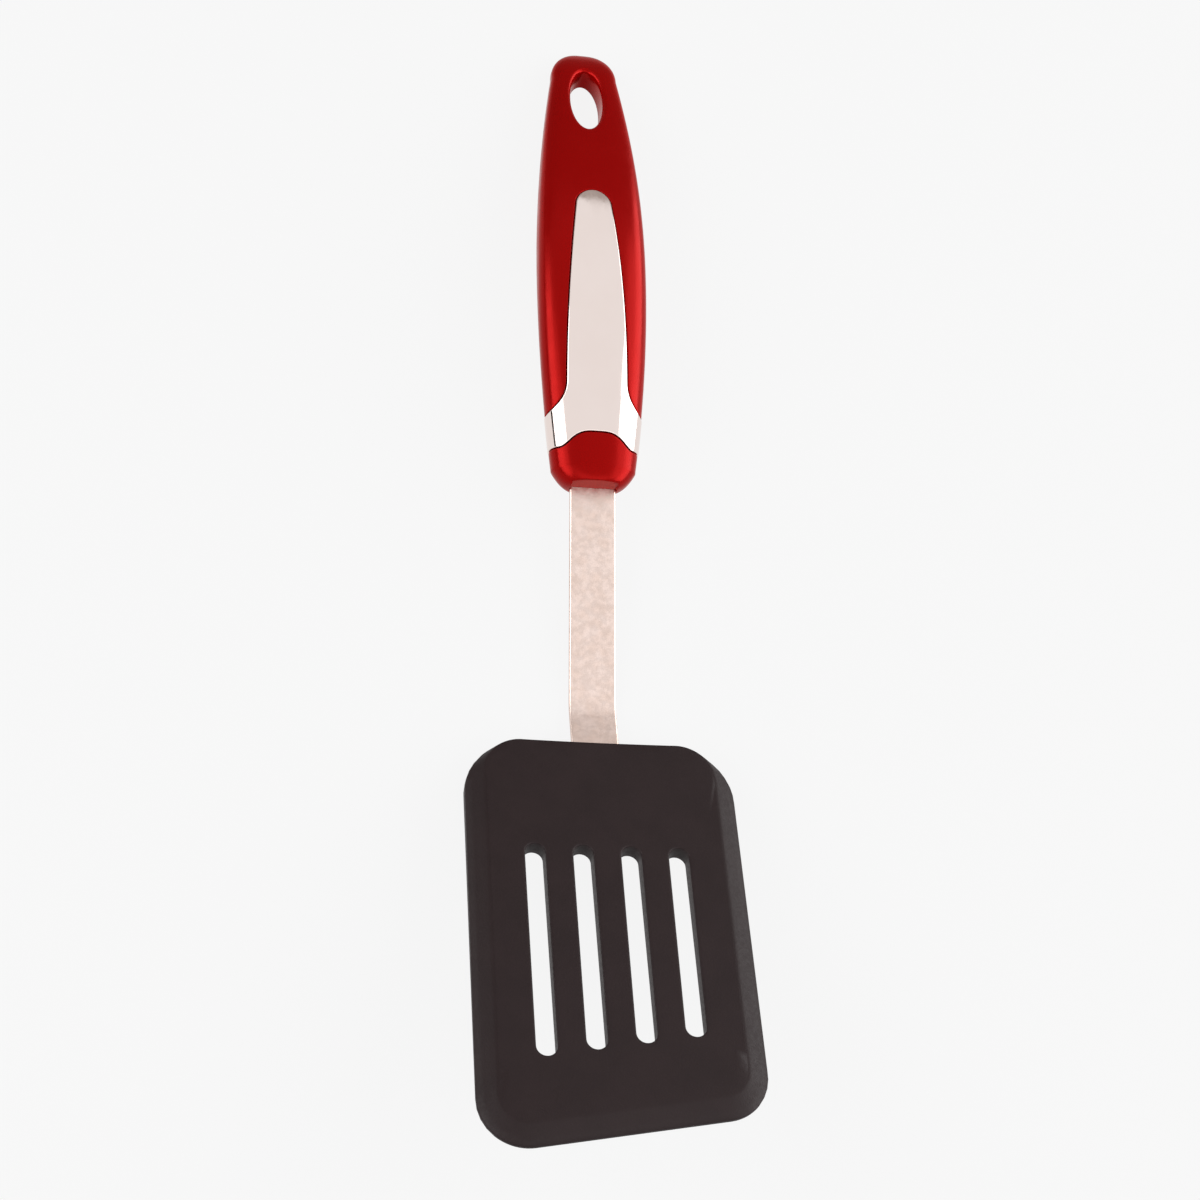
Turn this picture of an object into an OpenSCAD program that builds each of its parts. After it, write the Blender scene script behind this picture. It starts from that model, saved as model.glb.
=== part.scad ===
// Grill spatula: a slotted nylon blade on a flat steel shank, with a moulded two-colour handle.
// It lies on its back on a table, as it does when it is put down: +X is to the right, +Y runs
// from the blade to the end of the handle and +Z is up. It touches the table at the heel of the
// shank's bend and at the tail of the handle. The origin is on the table, under its middle.
//
// Every piece is drawn in the shank's own frame first, with the top of the straight shank in
// the plane z = 0 and the tip of the handle's nose at y = 0, and is then laid down on the table.

/* [Blade] */
// Width of the blade at its rear edge
blade_rear_w = 78.4; // [60:0.2:110]
// Width of the blade at its front edge
blade_front_w = 79.6; // [60:0.2:110]
// Length of the blade along its middle
blade_l = 120; // [85:1:160]
// Angle of the slanted front edge, longer on the left
front_slant = 8.8; // [0:0.1:15]
// Angle by which the blade rises from the line of the shank
blade_rise = 20.5; // [8:0.5:35]
// Thickness of the blade at its rear edge
blade_rear_t = 6.4; // [5:0.1:9]
// Thickness that the blade would have at its front edge without the bevel
blade_front_t = 4; // [3.4:0.1:6]
// Radius of the two rear corners
rear_corner_r = 16.5; // [9:0.5:22]
// Radius of the two front corners
front_corner_r = 13.5; // [9:0.5:22]
// Width of the bevel along the sides and the front
bevel_w = 5.5; // [2:0.1:8]
// Drop of the bevel at the edge
bevel_drop = 2.4; // [1:0.1:2.6]

/* [Slots] */
// Number of slots
slot_count = 4; // [2:1:5]
// Width of a slot
slot_w = 5.8; // [4.6:0.1:8]
// Distance from one slot to the next
slot_pitch = 13.7; // [11:0.1:15]
// Distance from the rear edge to the slots
slot_start = 34.5; // [31:0.5:45]
// Distance from the slots to the front edge
slot_end_margin = 24; // [14:0.5:32]

/* [Shank] */
// Width of the steel strap
strap_w = 14; // [11:0.5:18]
// Thickness of the steel strap
strap_t = 1.8; // [1.2:0.1:2.4]
// Straight length from the handle's nose to the bend
shank_l = 67.8; // [45:0.1:120]
// Sloping length from the bend to the blade's rear edge
neck_l = 14.4; // [9:0.2:25]
// Radius of the bend, at the middle of the strap's thickness
bend_r = 16; // [8:0.5:24]
// Length of the front tang inside the blade
front_tang_l = 26; // [20:0.5:28]
// Depth of the front tang under the blade's top face
front_tang_depth = 4.2; // [3:0.1:4.4]
// Diameter of the two holes in the front tang that the nylon fills
key_d = 5; // [3:0.1:6]
// Length of the rear tang inside the handle
rear_tang_l = 59; // [50:1:64]

/* [Boss] */
// Width of the boss under the blade that covers the tang
boss_w = 22; // [19:0.5:26]
// Length of the boss
boss_l = 31; // [29.5:0.5:34]
// Height of the boss below the underside of the blade
boss_drop = 1.3; // [1.2:0.1:3]

/* [Handle] */
// Length of the handle along the line of the shank
handle_l = 157.1; // [140:0.1:190]
// Width of the handle behind the nose's dome
nose_w = 25.8; // [24:0.2:32]
// Width of the handle at its belly
belly_w = 34.1; // [31:0.2:42]
// Width of the handle where its round tail starts
tail_w = 21.4; // [18:0.2:28]
// Thickness of the handle behind the nose's dome
nose_t = 15.8; // [15:0.2:20]
// Thickness of the handle at its belly
belly_t = 16.4; // [16:0.2:22]
// Thickness of the handle where its round tail starts
tail_t = 8.6; // [7:0.2:12]
// Distance from the nose to the belly
belly_y = 70.2; // [62:0.2:80]
// Length of the straight front part of the handle, before it curves down
straight_l = 19.2; // [5:0.2:22]
// Drop of the handle's tail below the line of the shank
tail_drop = 20.6; // [14:0.2:30]
// Squareness of the cross-section at the nose, where 2 is an ellipse
nose_squareness = 2.3; // [2:0.1:3]
// Squareness of the cross-section at the tail
tail_squareness = 3.6; // [2.4:0.1:4]
// Length of the round tail
tail_round_l = 11; // [8:0.5:14]
// Wall of the nose cap and the collar
shell_t = 2; // [1.6:0.1:2.2]

/* [Nose cap] */
// Length of the dome at the front of the nose cap
dome_l = 5.5; // [4:0.1:7]
// Width of the flat at the tip of the dome
face_w = 12; // [8:0.2:15]
// Height of the flat at the tip of the dome
face_t = 11; // [8:0.2:13]
// Distance from the nose to the cap's rear edge at the sides
cap_side_y = 11.3; // [9:0.1:13]
// Length of the arch in the cap's rear edge, above and below
cap_arch_l = 4.7; // [2:0.1:6]
// Half of the width of that arch
cap_arch_half_w = 11.2; // [8:0.1:12]
// Depth of the flat landing in the dome, where the shank comes out
landing_inset = 0.7; // [0.2:0.1:1]
// Backward slope of the landing above the shank
landing_slope = 4; // [0:0.5:8]

/* [Collar] */
// Width of each chrome tongue at its root
tongue_w = 18.5; // [14:0.1:20]
// Width of each chrome tongue just before its round tip
tongue_tip_w = 9.7; // [8:0.1:12]
// Distance from the nose to the tip of the tongues
tongue_tip_y = 99.5; // [84:0.1:106]
// Length of the round tip of a tongue
tongue_tip_l = 5; // [3:0.1:7]
// Distance from the nose to the root of the tongues, where they flare into the band
flare_y = 33.7; // [30:0.1:37]
// Distance from the nose to the band's rear edge at the sides of the handle
band_y = 22.5; // [20:0.1:25]
// Height by which the chrome stands above the red plastic
trim_proud = 0.25; // [0:0.05:0.5]
// Gap along the visible joint lines
joint_gap = 0.3; // [0.1:0.05:0.5]

/* [Hanging hole] */
// Distance from the tail to the middle of the hanging hole
hole_from_tail = 21.4; // [19:0.1:25]
// Width of the hanging hole
hole_w = 10.4; // [6:0.1:11]
// Length of the hanging hole
hole_l = 24.4; // [12:0.1:25]
// Radius of the soft rim of the hanging hole
rim_r = 1.3; // [0.4:0.1:1.6]

/* [Core] */
// Length of the core's wide seat, under the cap and the collar
seat_l = 31; // [29:0.5:34]
// Width of the core's bar, inside the grip
bar_w = 19; // [17:0.2:22]
// Thickness of the core's bar
bar_t = 7.6; // [6:0.1:8]
// Plastic behind the end of the rear tang
bar_end = 4; // [2:0.2:6]
// Diameter of the two pins through the core and the tang
pin_d = 3; // [2:0.1:4]
// Sliding clearance between the pieces inside the handle
slide_fit = 0.1; // [0.05:0.05:0.2]
// Clearance of the pins in their holes
pin_fit = 0.03; // [0.02:0.01:0.1]
// Clearance between the front tang and the nylon moulded round it
tang_fit = 0.03; // [0.02:0.01:0.1]

/* [Hidden] */

nylon = "#342c2c";
steel = "#e0d2ca";
chrome = "#f0e6e2";
red = "#a80f0c";
core_grey = "#3a3a3c";

past = 1;             // how far a cutter reaches past what it cuts
ring_points = 48;     // points round a cross-section of the handle
body_steps = 24;      // cross-sections between the dome and the round tail
dome_steps = 6;       // cross-sections in the dome
tail_steps = 7;       // cross-sections in the round tail
arc_steps = 12;       // steps in a corner of the blade or in the bend
edge_steps = 18;      // steps along one side of a joint line
hole_points = 48;     // points round the hanging hole
rim_steps = 4;        // steps in its soft rim
outer_x = 20;         // half-width of the cutters that reach past the handle's sides
outer_z = 40;         // half-height of the cutters that reach past its top and bottom
fine = 48;            // facets of a circle

// ---- curves shared by several pieces ----

// A smooth step from 0 to 1 as u goes from 0 to 1.
function smooth(u) = let (v = min(max(u, 0), 1)) v * v * (3 - 2 * v);

// A power that keeps the sign of its base.
function signed_pow(v, e) = sign(v) * pow(abs(v), e);

// How much of its full size a superellipse keeps at u from its middle.
function round_off(u, e) = pow(1 - pow(min(max(u, 0), 1), e), 1 / e);

// ---- the handle's shape ----

tail_y = handle_l - tail_round_l;

// Height of the handle's middle plane, which curves down behind the straight part.
function middle_z(y) = -tail_drop * pow(max(y - straight_l, 0) / (handle_l - straight_l), 2);

// Slope of the middle plane, in degrees.
function middle_slope(y) =
    atan(-2 * tail_drop * max(y - straight_l, 0) / pow(handle_l - straight_l, 2));

// The dome narrows the nose quickly at its tip and meets the sides at a soft crease.
function dome_size(y, face, full) = face + (full - face) * pow(min(max(y, 0) / dome_l, 1), 0.45);

// The tail closes a little squarer than a half circle.
function tail_size(y) = round_off((y - tail_y) / tail_round_l, 2.15);

// Size at a cross-section: it swells to the belly and narrows again to the tail.
function swell(y, nose, belly, tail) =
    y < belly_y
        ? belly - (belly - nose) * pow((belly_y - max(y, dome_l)) / (belly_y - dome_l), 2)
        : belly - (belly - tail) * pow((min(y, tail_y) - belly_y) / (tail_y - belly_y), 2);

function thin_out(y, nose, belly, tail) =
    y < belly_y
        ? swell(y, nose, belly, tail)
        : belly - (belly - tail) * smooth((y - belly_y) / (tail_y - belly_y));

function half_w(y) = dome_size(y, face_w, swell(y, nose_w, belly_w, tail_w)) * tail_size(y) / 2;
function half_t(y) = dome_size(y, face_t, thin_out(y, nose_t, belly_t, tail_t)) * tail_size(y) / 2;

function squareness(y) =
    nose_squareness + (tail_squareness - nose_squareness) * smooth((y - 30) / (tail_y - 55));

// One cross-section: a superellipse about the middle plane, grown outwards by `grow`.
function handle_ring(y, grow) = let (
    w = half_w(y) + grow,
    t = half_t(y) + grow,
    e = 2 / squareness(y)
) [for (i = [0 : ring_points - 1]) let (a = -360 * i / ring_points)
    [w * signed_pow(cos(a), e), y, middle_z(y) + t * signed_pow(sin(a), e)]];

// Where the cross-sections lie: close together in the dome and in the tail.
stations = concat(
    [for (k = [0 : dome_steps]) dome_l * pow(k / dome_steps, 2)],
    [for (k = [1 : body_steps]) dome_l + (tail_y - dome_l) * k / body_steps],
    [for (k = [1 : tail_steps]) tail_y + tail_round_l * sin(88 * k / tail_steps)]);

// The stations between two places, with those places themselves.
function stations_between(from, to) = concat(
    [from],
    [for (y = stations) if (y > from + 0.5 && y < to - 0.5) y],
    [to]);

// A closed solid through rings of points, listed from its bottom ring to its top ring.
module skin(rings) {
    n = len(rings[0]);
    last = len(rings) - 1;
    function at(j, i) = j * n + i % n;
    points = [for (ring = rings) for (p = ring) p];
    lower = [for (j = [0 : last - 1]) for (i = [0 : n - 1]) [at(j, i), at(j + 1, i), at(j + 1, i + 1)]];
    upper = [for (j = [0 : last - 1]) for (i = [0 : n - 1]) [at(j, i), at(j + 1, i + 1), at(j, i + 1)]];
    first_face = [[for (i = [0 : n - 1]) i]];
    last_face = [[for (i = [n - 1 : -1 : 0]) at(last, i)]];
    polyhedron(points, concat(lower, upper, first_face, last_face), convexity = 8);
}

// The handle's whole form, or a length of it, grown or shrunk by `grow`.
module handle_form(grow = 0, from = 0, to = stations[len(stations) - 1]) {
    skin([for (y = stations_between(from, to)) handle_ring(y, grow)]);
}

// A plan outline carried straight up and down through the handle.
module plan_cutter(outline) {
    translate([0, 0, -outer_z])
        linear_extrude(2 * outer_z)
            polygon(outline);
}

// ---- joint lines of the handle, seen from above ----

// Rear edge of the nose cap: level at the sides, with a bell-shaped arch in the middle.
function cap_edge(x) = cap_side_y
    + cap_arch_l * (1 + cos(180 * pow(min(abs(x) / cap_arch_half_w, 1), 1.9))) / 2;

cap_edge_xs = [for (k = [-edge_steps : edge_steps]) outer_x * k / edge_steps];

function cap_edge_line(gap) = [for (x = cap_edge_xs) [x, cap_edge(x) + gap]];

// Half-width of a tongue: it narrows towards its tip and flares into the band at its root.
function tongue_half(y) =
    (tongue_w - (tongue_w - tongue_tip_w) * pow(max(y - flare_y, 0) / (tongue_tip_y - flare_y), 2))
        / 2 * round_off((y - tongue_tip_y + tongue_tip_l) / tongue_tip_l, 2)
    + flare_half * pow(max(flare_y - y, 0) / (flare_y - band_y), 2.7);

// How far the flare spreads, so that it meets the handle's sides at band_y.
flare_half = half_w(band_y) - tongue_w / 2;

// From the root of the flare to the tip, with more steps where the line turns.
tongue_ys = concat(
    [for (k = [0 : 8]) band_y + (flare_y - band_y) * k / 8],
    [for (k = [1 : 8]) flare_y + (tongue_tip_y - tongue_tip_l - flare_y) * k / 8],
    [for (k = [1 : 6]) tongue_tip_y - tongue_tip_l + tongue_tip_l * sin(15 * k)]);

// Right side of the line, from past the handle's side to the tip.
function tongue_side(gap) = concat(
    [[outer_x, band_y + gap - (outer_x - half_w(band_y)) * 0.7]],
    [for (y = tongue_ys) [max(tongue_half(y), 0) + gap * min(1, tongue_half(y) / 2), y + gap / 2]]);

function mirrored(line) = [for (k = [len(line) - 1 : -1 : 0]) [-line[k][0], line[k][1]]];

function tongue_line(gap) = concat(tongue_side(gap), mirrored(tongue_side(gap)));

// ---- the blade's shape, in its own frame: top face at z = 0, rear edge at y = 0 ----

function arc(c, r, from, to) =
    [for (k = [0 : arc_steps]) let (a = from + (to - from) * k / arc_steps)
        [c[0] + r * cos(a), c[1] + r * sin(a)]];

// Outline of the blade, or of the top face inside the bevel when `inset` is the bevel's width.
// The rear edge has no bevel, so its line stays and only its corners draw in.
function straight_outline(inset) = let (
    side = blade_front_w / 2,
    rear_r = rear_corner_r - inset,
    front_r = front_corner_r - inset,
    rear_x = side - rear_corner_r,
    front_x = side - front_corner_r,
    front_y = -blade_l + front_corner_r / cos(front_slant),
    skew = front_x * tan(front_slant)
) concat(
    arc([rear_x, -rear_r], rear_r, 0, 90),
    arc([-rear_x, -rear_r], rear_r, 90, 180),
    arc([-front_x, front_y - skew], front_r, 180, 270 + front_slant),
    arc([front_x, front_y + skew], front_r, 270 + front_slant, 360));

// How wide the blade is at y, as a share of its front width.
function widening(y) = (blade_rear_w + (blade_rear_w - blade_front_w) * y / blade_l) / blade_front_w;

function blade_outline(inset) = [for (p = straight_outline(inset)) [p[0] * widening(p[1]), p[1]]];

// Thickness of the blade at y, thinner towards the front.
function blade_t(y) = blade_rear_t + (blade_rear_t - blade_front_t) * y / blade_l;

function at_height(outline, z) = [for (p = outline) [p[0], p[1], z]];
function on_underside(outline, drop) = [for (p = outline) [p[0], p[1], -blade_t(p[1]) - drop]];

blade_rings = [
    on_underside(blade_outline(0), 0),
    at_height(blade_outline(0), -bevel_drop),
    at_height(blade_outline(bevel_w), 0)];

// A rectangle with round front corners, from the rear edge forwards.
function boss_outline(inset) = let (r = 6 - inset, side = boss_w / 2 - inset, front = -boss_l + inset)
    concat(
        [[side, 0], [-side, 0]],
        arc([-side + r, front + r], r, 180, 270),
        arc([side - r, front + r], r, 270, 360));

// ---- the shank's line ----

half_bend = bend_r * tan(blade_rise / 2);             // from the bend's corner to its ends
bend_y = -shank_l + half_bend;                        // where the bend starts
bend_centre = [bend_y, bend_r - strap_t / 2];
slope_l = neck_l - half_bend + front_tang_l;          // from the bend's end to the tang's tip

// A point of the strap, `a` degrees into the bend, `side` above or below its middle.
function bend_point(a, side) =
    [bend_centre[0] - (bend_r - side) * sin(a), bend_centre[1] - (bend_r - side) * cos(a)];

function strap_edge(side) = concat(
    [[rear_tang_l, side - strap_t / 2]],
    [for (k = [0 : arc_steps]) bend_point(blade_rise * k / arc_steps, side)],
    [bend_point(blade_rise, side) + slope_l * [-cos(blade_rise), sin(blade_rise)]]);

function reversed(line) = [for (k = [len(line) - 1 : -1 : 0]) line[k]];

// Where the blade's rear edge comes, up the slope and above the tang.
blade_y = -shank_l - neck_l * cos(blade_rise) + front_tang_depth * sin(blade_rise);
blade_z = neck_l * sin(blade_rise) + front_tang_depth * cos(blade_rise);

function blade_point(p) = [
    p[0],
    blade_y + p[1] * cos(blade_rise) + p[2] * sin(blade_rise),
    blade_z - p[1] * sin(blade_rise) + p[2] * cos(blade_rise)];

module on_blade() {
    translate([0, blade_y, blade_z])
        rotate([-blade_rise, 0, 0])
            children();
}

// ---- lying on the table ----

// Height of the heel and of the tail when the spatula is turned up by `tilt` degrees.
function heel_height(tilt) =
    bend_centre[0] * sin(tilt) + bend_centre[1] * cos(tilt) - bend_r - strap_t / 2;
function tail_height(tilt) =
    min([for (y = stations) y * sin(tilt) + (middle_z(y) - half_t(y)) * cos(tilt)]);

// The tilt at which both touch, found by turning it until the heights agree.
function settle(tilt, turns) = turns == 0 ? tilt
    : settle(tilt + asin((heel_height(tilt) - tail_height(tilt)) / (handle_l + shank_l)), turns - 1);

rest_tilt = settle(5, 8);
floor_z = heel_height(rest_tilt);

function laid_y(p) = p[1] * cos(rest_tilt) - p[2] * sin(rest_tilt);

front_end_y = min([for (ring = blade_rings) for (p = ring) laid_y(blade_point(p))]);
rear_end_y = max([for (y = stations) laid_y([0, y, middle_z(y)])]);

module laid_down() {
    translate([0, -(front_end_y + rear_end_y) / 2, -floor_z])
        rotate([rest_tilt, 0, 0])
            children();
}

// ---- blade ----

module slot_cutter(x) {
    r = slot_w / 2;
    rear = -slot_start - r;
    front = -blade_l + slot_end_margin + x * tan(front_slant) + r;
    translate([x, 0, -blade_rear_t - past])
        linear_extrude(blade_rear_t + 2 * past)
            union() {
                translate([0, rear])
                    circle(r, $fn = fine);
                translate([0, front])
                    circle(r, $fn = fine);
                translate([-r, front])
                    square([slot_w, rear - front]);
            }
}

module key_cylinders(d) {
    for (share = [0.3, 0.74])
        translate([0, -front_tang_l * share, -front_tang_depth - strap_t - past])
            cylinder(h = strap_t + 2 * past, d = d, $fn = fine);
}

// The room that the front tang fills, with the nylon keys left standing in its holes.
module tang_room() {
    w = strap_w + 2 * tang_fit;
    difference() {
        translate([-w / 2, -front_tang_l - tang_fit, -front_tang_depth - strap_t - tang_fit])
            cube([w, front_tang_l + tang_fit + past, strap_t + 2 * tang_fit]);
        key_cylinders(key_d - 2 * tang_fit);
    }
}

module blade() {
    color(nylon)
        laid_down()
            on_blade()
                difference() {
                    union() {
                        skin(blade_rings);
                        skin([
                            on_underside(boss_outline(boss_drop), boss_drop),
                            at_height(boss_outline(0), -bevel_drop - 0.5)]);
                    }
                    for (i = [0 : slot_count - 1])
                        slot_cutter((i - (slot_count - 1) / 2) * slot_pitch);
                    tang_room();
                }
}

// ---- shank ----

pin_ys = [rear_tang_l - 20, rear_tang_l - 7];

module pin_cylinders(d, from, to) {
    for (y = pin_ys)
        translate([0, y, from])
            cylinder(h = to - from, d = d, $fn = fine);
}

module shank() {
    color(steel)
        laid_down()
            difference() {
                translate([-strap_w / 2, 0, 0])
                    rotate([90, 0, 90])
                        linear_extrude(strap_w)
                            polygon(concat(strap_edge(strap_t / 2), reversed(strap_edge(-strap_t / 2))));
                on_blade()
                    key_cylinders(key_d);
                pin_cylinders(pin_d + 2 * pin_fit, -strap_t - past, past);
            }
}

// ---- core of the handle ----

bar_l = rear_tang_l + bar_end;
bar_low = -(bar_t + strap_t) / 2;
bar_top = (bar_t - strap_t) / 2;

module bar(fit, from) {
    translate([-bar_w / 2 - fit, from, bar_low - fit])
        cube([bar_w + 2 * fit, bar_l + fit - from, bar_t + 2 * fit]);
}

module handle_core() {
    slot_h = strap_t + 2 * slide_fit;
    color(core_grey)
        laid_down()
            difference() {
                union() {
                    handle_form(-shell_t - slide_fit, shell_t + slide_fit, seat_l);
                    bar(0, seat_l - past);
                }
                translate([-strap_w / 2 - slide_fit, 0, -strap_t - slide_fit])
                    cube([strap_w + 2 * slide_fit, rear_tang_l + slide_fit, slot_h]);
                pin_cylinders(pin_d + 2 * pin_fit, bar_low - past, bar_top + past);
            }
}

module tang_pins() {
    color(steel)
        laid_down()
            pin_cylinders(pin_d, bar_low, bar_top);
}

// ---- collar, nose cap and grip ----

module collar() {
    zone = concat(tongue_line(0), cap_edge_line(joint_gap));
    color(chrome)
        laid_down()
            difference() {
                intersection() {
                    handle_form(trim_proud, cap_side_y - past, tongue_tip_y + past);
                    plan_cutter(zone);
                }
                handle_form(-shell_t, cap_side_y - 2 * past, tongue_tip_y + 2 * past);
            }
}

// The strap's slot through the dome, with the flat landing above it.
module mouth() {
    w = strap_w + 2 * slide_fit;
    translate([-w / 2, -past, -strap_t - slide_fit])
        cube([w, shell_t + 2 * past, strap_t + 2 * slide_fit]);
    translate([-w / 2, 0, 0])
        rotate([90, 0, 90])
            linear_extrude(w)
                polygon([
                    [-past, 0],
                    [landing_inset, 0],
                    [landing_inset + nose_t * tan(landing_slope), nose_t],
                    [-past, nose_t]]);
}

module nose_cap() {
    zone = concat([[outer_x, -past], [-outer_x, -past]], cap_edge_line(0));
    color(red)
        laid_down()
            difference() {
                intersection() {
                    handle_form(0, 0, cap_side_y + cap_arch_l + past);
                    plan_cutter(zone);
                }
                handle_form(-shell_t, shell_t, cap_side_y + cap_arch_l + 2 * past);
                mouth();
            }
}

// The hanging hole runs square through the drooping tail. These work in its own frame, which
// lies along the middle plane at the hole's middle.
hole_y = handle_l - hole_from_tail;
hole_tilt = middle_slope(hole_y);

// Height of the handle's skin over the point (x, v), on its top (side = 1) or underside (-1).
function skin_height(x, v, side) = let (
    y = hole_y + v * cos(hole_tilt) - side * half_t(hole_y) * sin(hole_tilt),
    bow = middle_z(y) - middle_z(hole_y) - (y - hole_y) * tan(hole_tilt)
) (bow + side * half_t(y) * round_off(abs(x) / half_w(y), squareness(y))) * cos(hole_tilt);

// One ring of the hole, wider than it by `flare` and `depth` under the skin.
function hole_ring(side, flare, depth) =
    [for (i = [0 : hole_points - 1]) let (
        a = 360 * i / hole_points,
        x = (hole_w / 2 + flare) * cos(a),
        v = (hole_l / 2 + flare) * sin(a)
    ) [x, v, skin_height(x, v, side) - side * depth]];

// The rings of one soft rim, from the hole's wall out to the skin and past it.
function rim_rings(side) = concat(
    [for (k = [0 : rim_steps]) let (a = 80 * k / rim_steps)
        hole_ring(side, rim_r * (1 - cos(a)), rim_r * (1 - sin(a)))],
    [hole_ring(side, rim_r, -past)]);

module hanging_hole() {
    translate([0, hole_y, middle_z(hole_y)])
        rotate([hole_tilt, 0, 0])
            skin(concat(reversed(rim_rings(-1)), rim_rings(1)));
}

module grip() {
    zone = concat(tongue_line(joint_gap), [[-outer_x, -past], [outer_x, -past]]);
    pocket = shell_t + slide_fit;
    color(red)
        laid_down()
            difference() {
                handle_form(0, band_y - 3 * past);
                difference() {
                    plan_cutter(zone);
                    handle_form(-pocket, band_y - 4 * past, tongue_tip_y + 3 * past);
                }
                handle_form(-shell_t, band_y - 5 * past, seat_l + slide_fit);
                bar(slide_fit, seat_l - past);
                hanging_hole();
            }
}

blade();
shank();
handle_core();
tang_pins();
collar();
nose_cap();
grip();
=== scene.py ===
"""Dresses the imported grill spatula: fine skins for its five outer nodes, their finishes, and a studio.

Shapes are worked out in millimetres in the shank's own frame: the top of the straight strap is the plane
z = 0, the tip of the handle's nose is y = 0 and +y runs to the tail. RestPose then lays them on the table,
in metres.
"""
import logging
import math
from dataclasses import dataclass, field
from enum import Enum
from functools import cached_property

import bmesh
import bpy
import numpy as np
from mathutils import Matrix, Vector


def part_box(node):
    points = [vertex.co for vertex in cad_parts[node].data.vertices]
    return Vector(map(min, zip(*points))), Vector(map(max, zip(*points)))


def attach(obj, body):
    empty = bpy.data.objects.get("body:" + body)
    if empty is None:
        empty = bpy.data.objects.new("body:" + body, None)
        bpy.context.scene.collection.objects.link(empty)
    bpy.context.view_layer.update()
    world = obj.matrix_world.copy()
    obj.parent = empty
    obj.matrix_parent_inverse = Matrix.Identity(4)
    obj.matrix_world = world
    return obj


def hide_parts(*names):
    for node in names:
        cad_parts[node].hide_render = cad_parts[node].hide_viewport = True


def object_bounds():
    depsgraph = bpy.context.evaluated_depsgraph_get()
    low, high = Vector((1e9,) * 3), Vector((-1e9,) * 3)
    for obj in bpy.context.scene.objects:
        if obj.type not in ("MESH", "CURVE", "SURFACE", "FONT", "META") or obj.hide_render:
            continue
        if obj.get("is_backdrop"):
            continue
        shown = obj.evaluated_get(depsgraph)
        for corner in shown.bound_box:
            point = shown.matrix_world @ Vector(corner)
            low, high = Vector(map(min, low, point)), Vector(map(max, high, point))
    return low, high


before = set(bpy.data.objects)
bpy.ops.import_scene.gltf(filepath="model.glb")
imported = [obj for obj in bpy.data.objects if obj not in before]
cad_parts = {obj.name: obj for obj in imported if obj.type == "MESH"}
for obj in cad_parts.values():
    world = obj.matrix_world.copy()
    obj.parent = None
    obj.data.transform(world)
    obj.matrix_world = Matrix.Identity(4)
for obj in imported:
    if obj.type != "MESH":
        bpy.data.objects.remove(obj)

LOG = logging.getLogger("spatula")
MM = 0.001
BODY = "root"
FULL_TURN = 2 * math.pi
MERGE_DECIMALS = 5


# ---------------------------------------------------------------------------------------------
# Curves and grids
# ---------------------------------------------------------------------------------------------


def smooth(u: np.ndarray) -> np.ndarray:
    """A smooth step from 0 to 1: 3u^2 - 2u^3, with u held between 0 and 1.

    Args:
        u: the share of the way.

    Returns:
        The smoothed share.
    """
    v = np.clip(u, 0.0, 1.0)
    return v * v * (3 - 2 * v)


def round_off(u: np.ndarray, power: np.ndarray | float) -> np.ndarray:
    """How much of its size a superellipse keeps at u from its middle: (1 - u^power)^(1/power)."""
    return (1 - np.clip(u, 0.0, 1.0) ** power) ** (1 / power)


def signed_power(v: np.ndarray, power: np.ndarray | float) -> np.ndarray:
    """|v|^power with v's own sign."""
    return np.sign(v) * np.abs(v) ** power


def blend(a: np.ndarray, b: np.ndarray, share: np.ndarray | float) -> np.ndarray:
    """The value at that share of the way from a to b."""
    return a + (b - a) * share


def points(x: np.ndarray, y: np.ndarray, z: np.ndarray) -> np.ndarray:
    """x, y and z, spread to one shape, as an array of points."""
    return np.stack(np.broadcast_arrays(x, y, z), axis=-1)


def along(line: np.ndarray, count: int, weight: np.ndarray | None = None) -> np.ndarray:
    """Spaces points evenly along a line.

    Args:
        line: the line's own points, densely set.
        count: how many points to return, the line's two ends among them.
        weight: how closely the points are set on each stretch between two of the line's points.

    Returns:
        The points at equal steps of the weighted length.
    """
    steps = np.linalg.norm(np.diff(line, axis=0), axis=1)
    run = np.concatenate([[0.0], np.cumsum(steps if weight is None else steps * weight)])
    places = np.linspace(0.0, run[-1], count)
    return np.stack([np.interp(places, run, line[:, axis]) for axis in range(line.shape[1])], axis=1)


def quarter_turn(steps: int) -> np.ndarray:
    """Angles from 0 to 90 degrees in that many steps."""
    return np.linspace(0.0, math.pi / 2, steps + 1)


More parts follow.
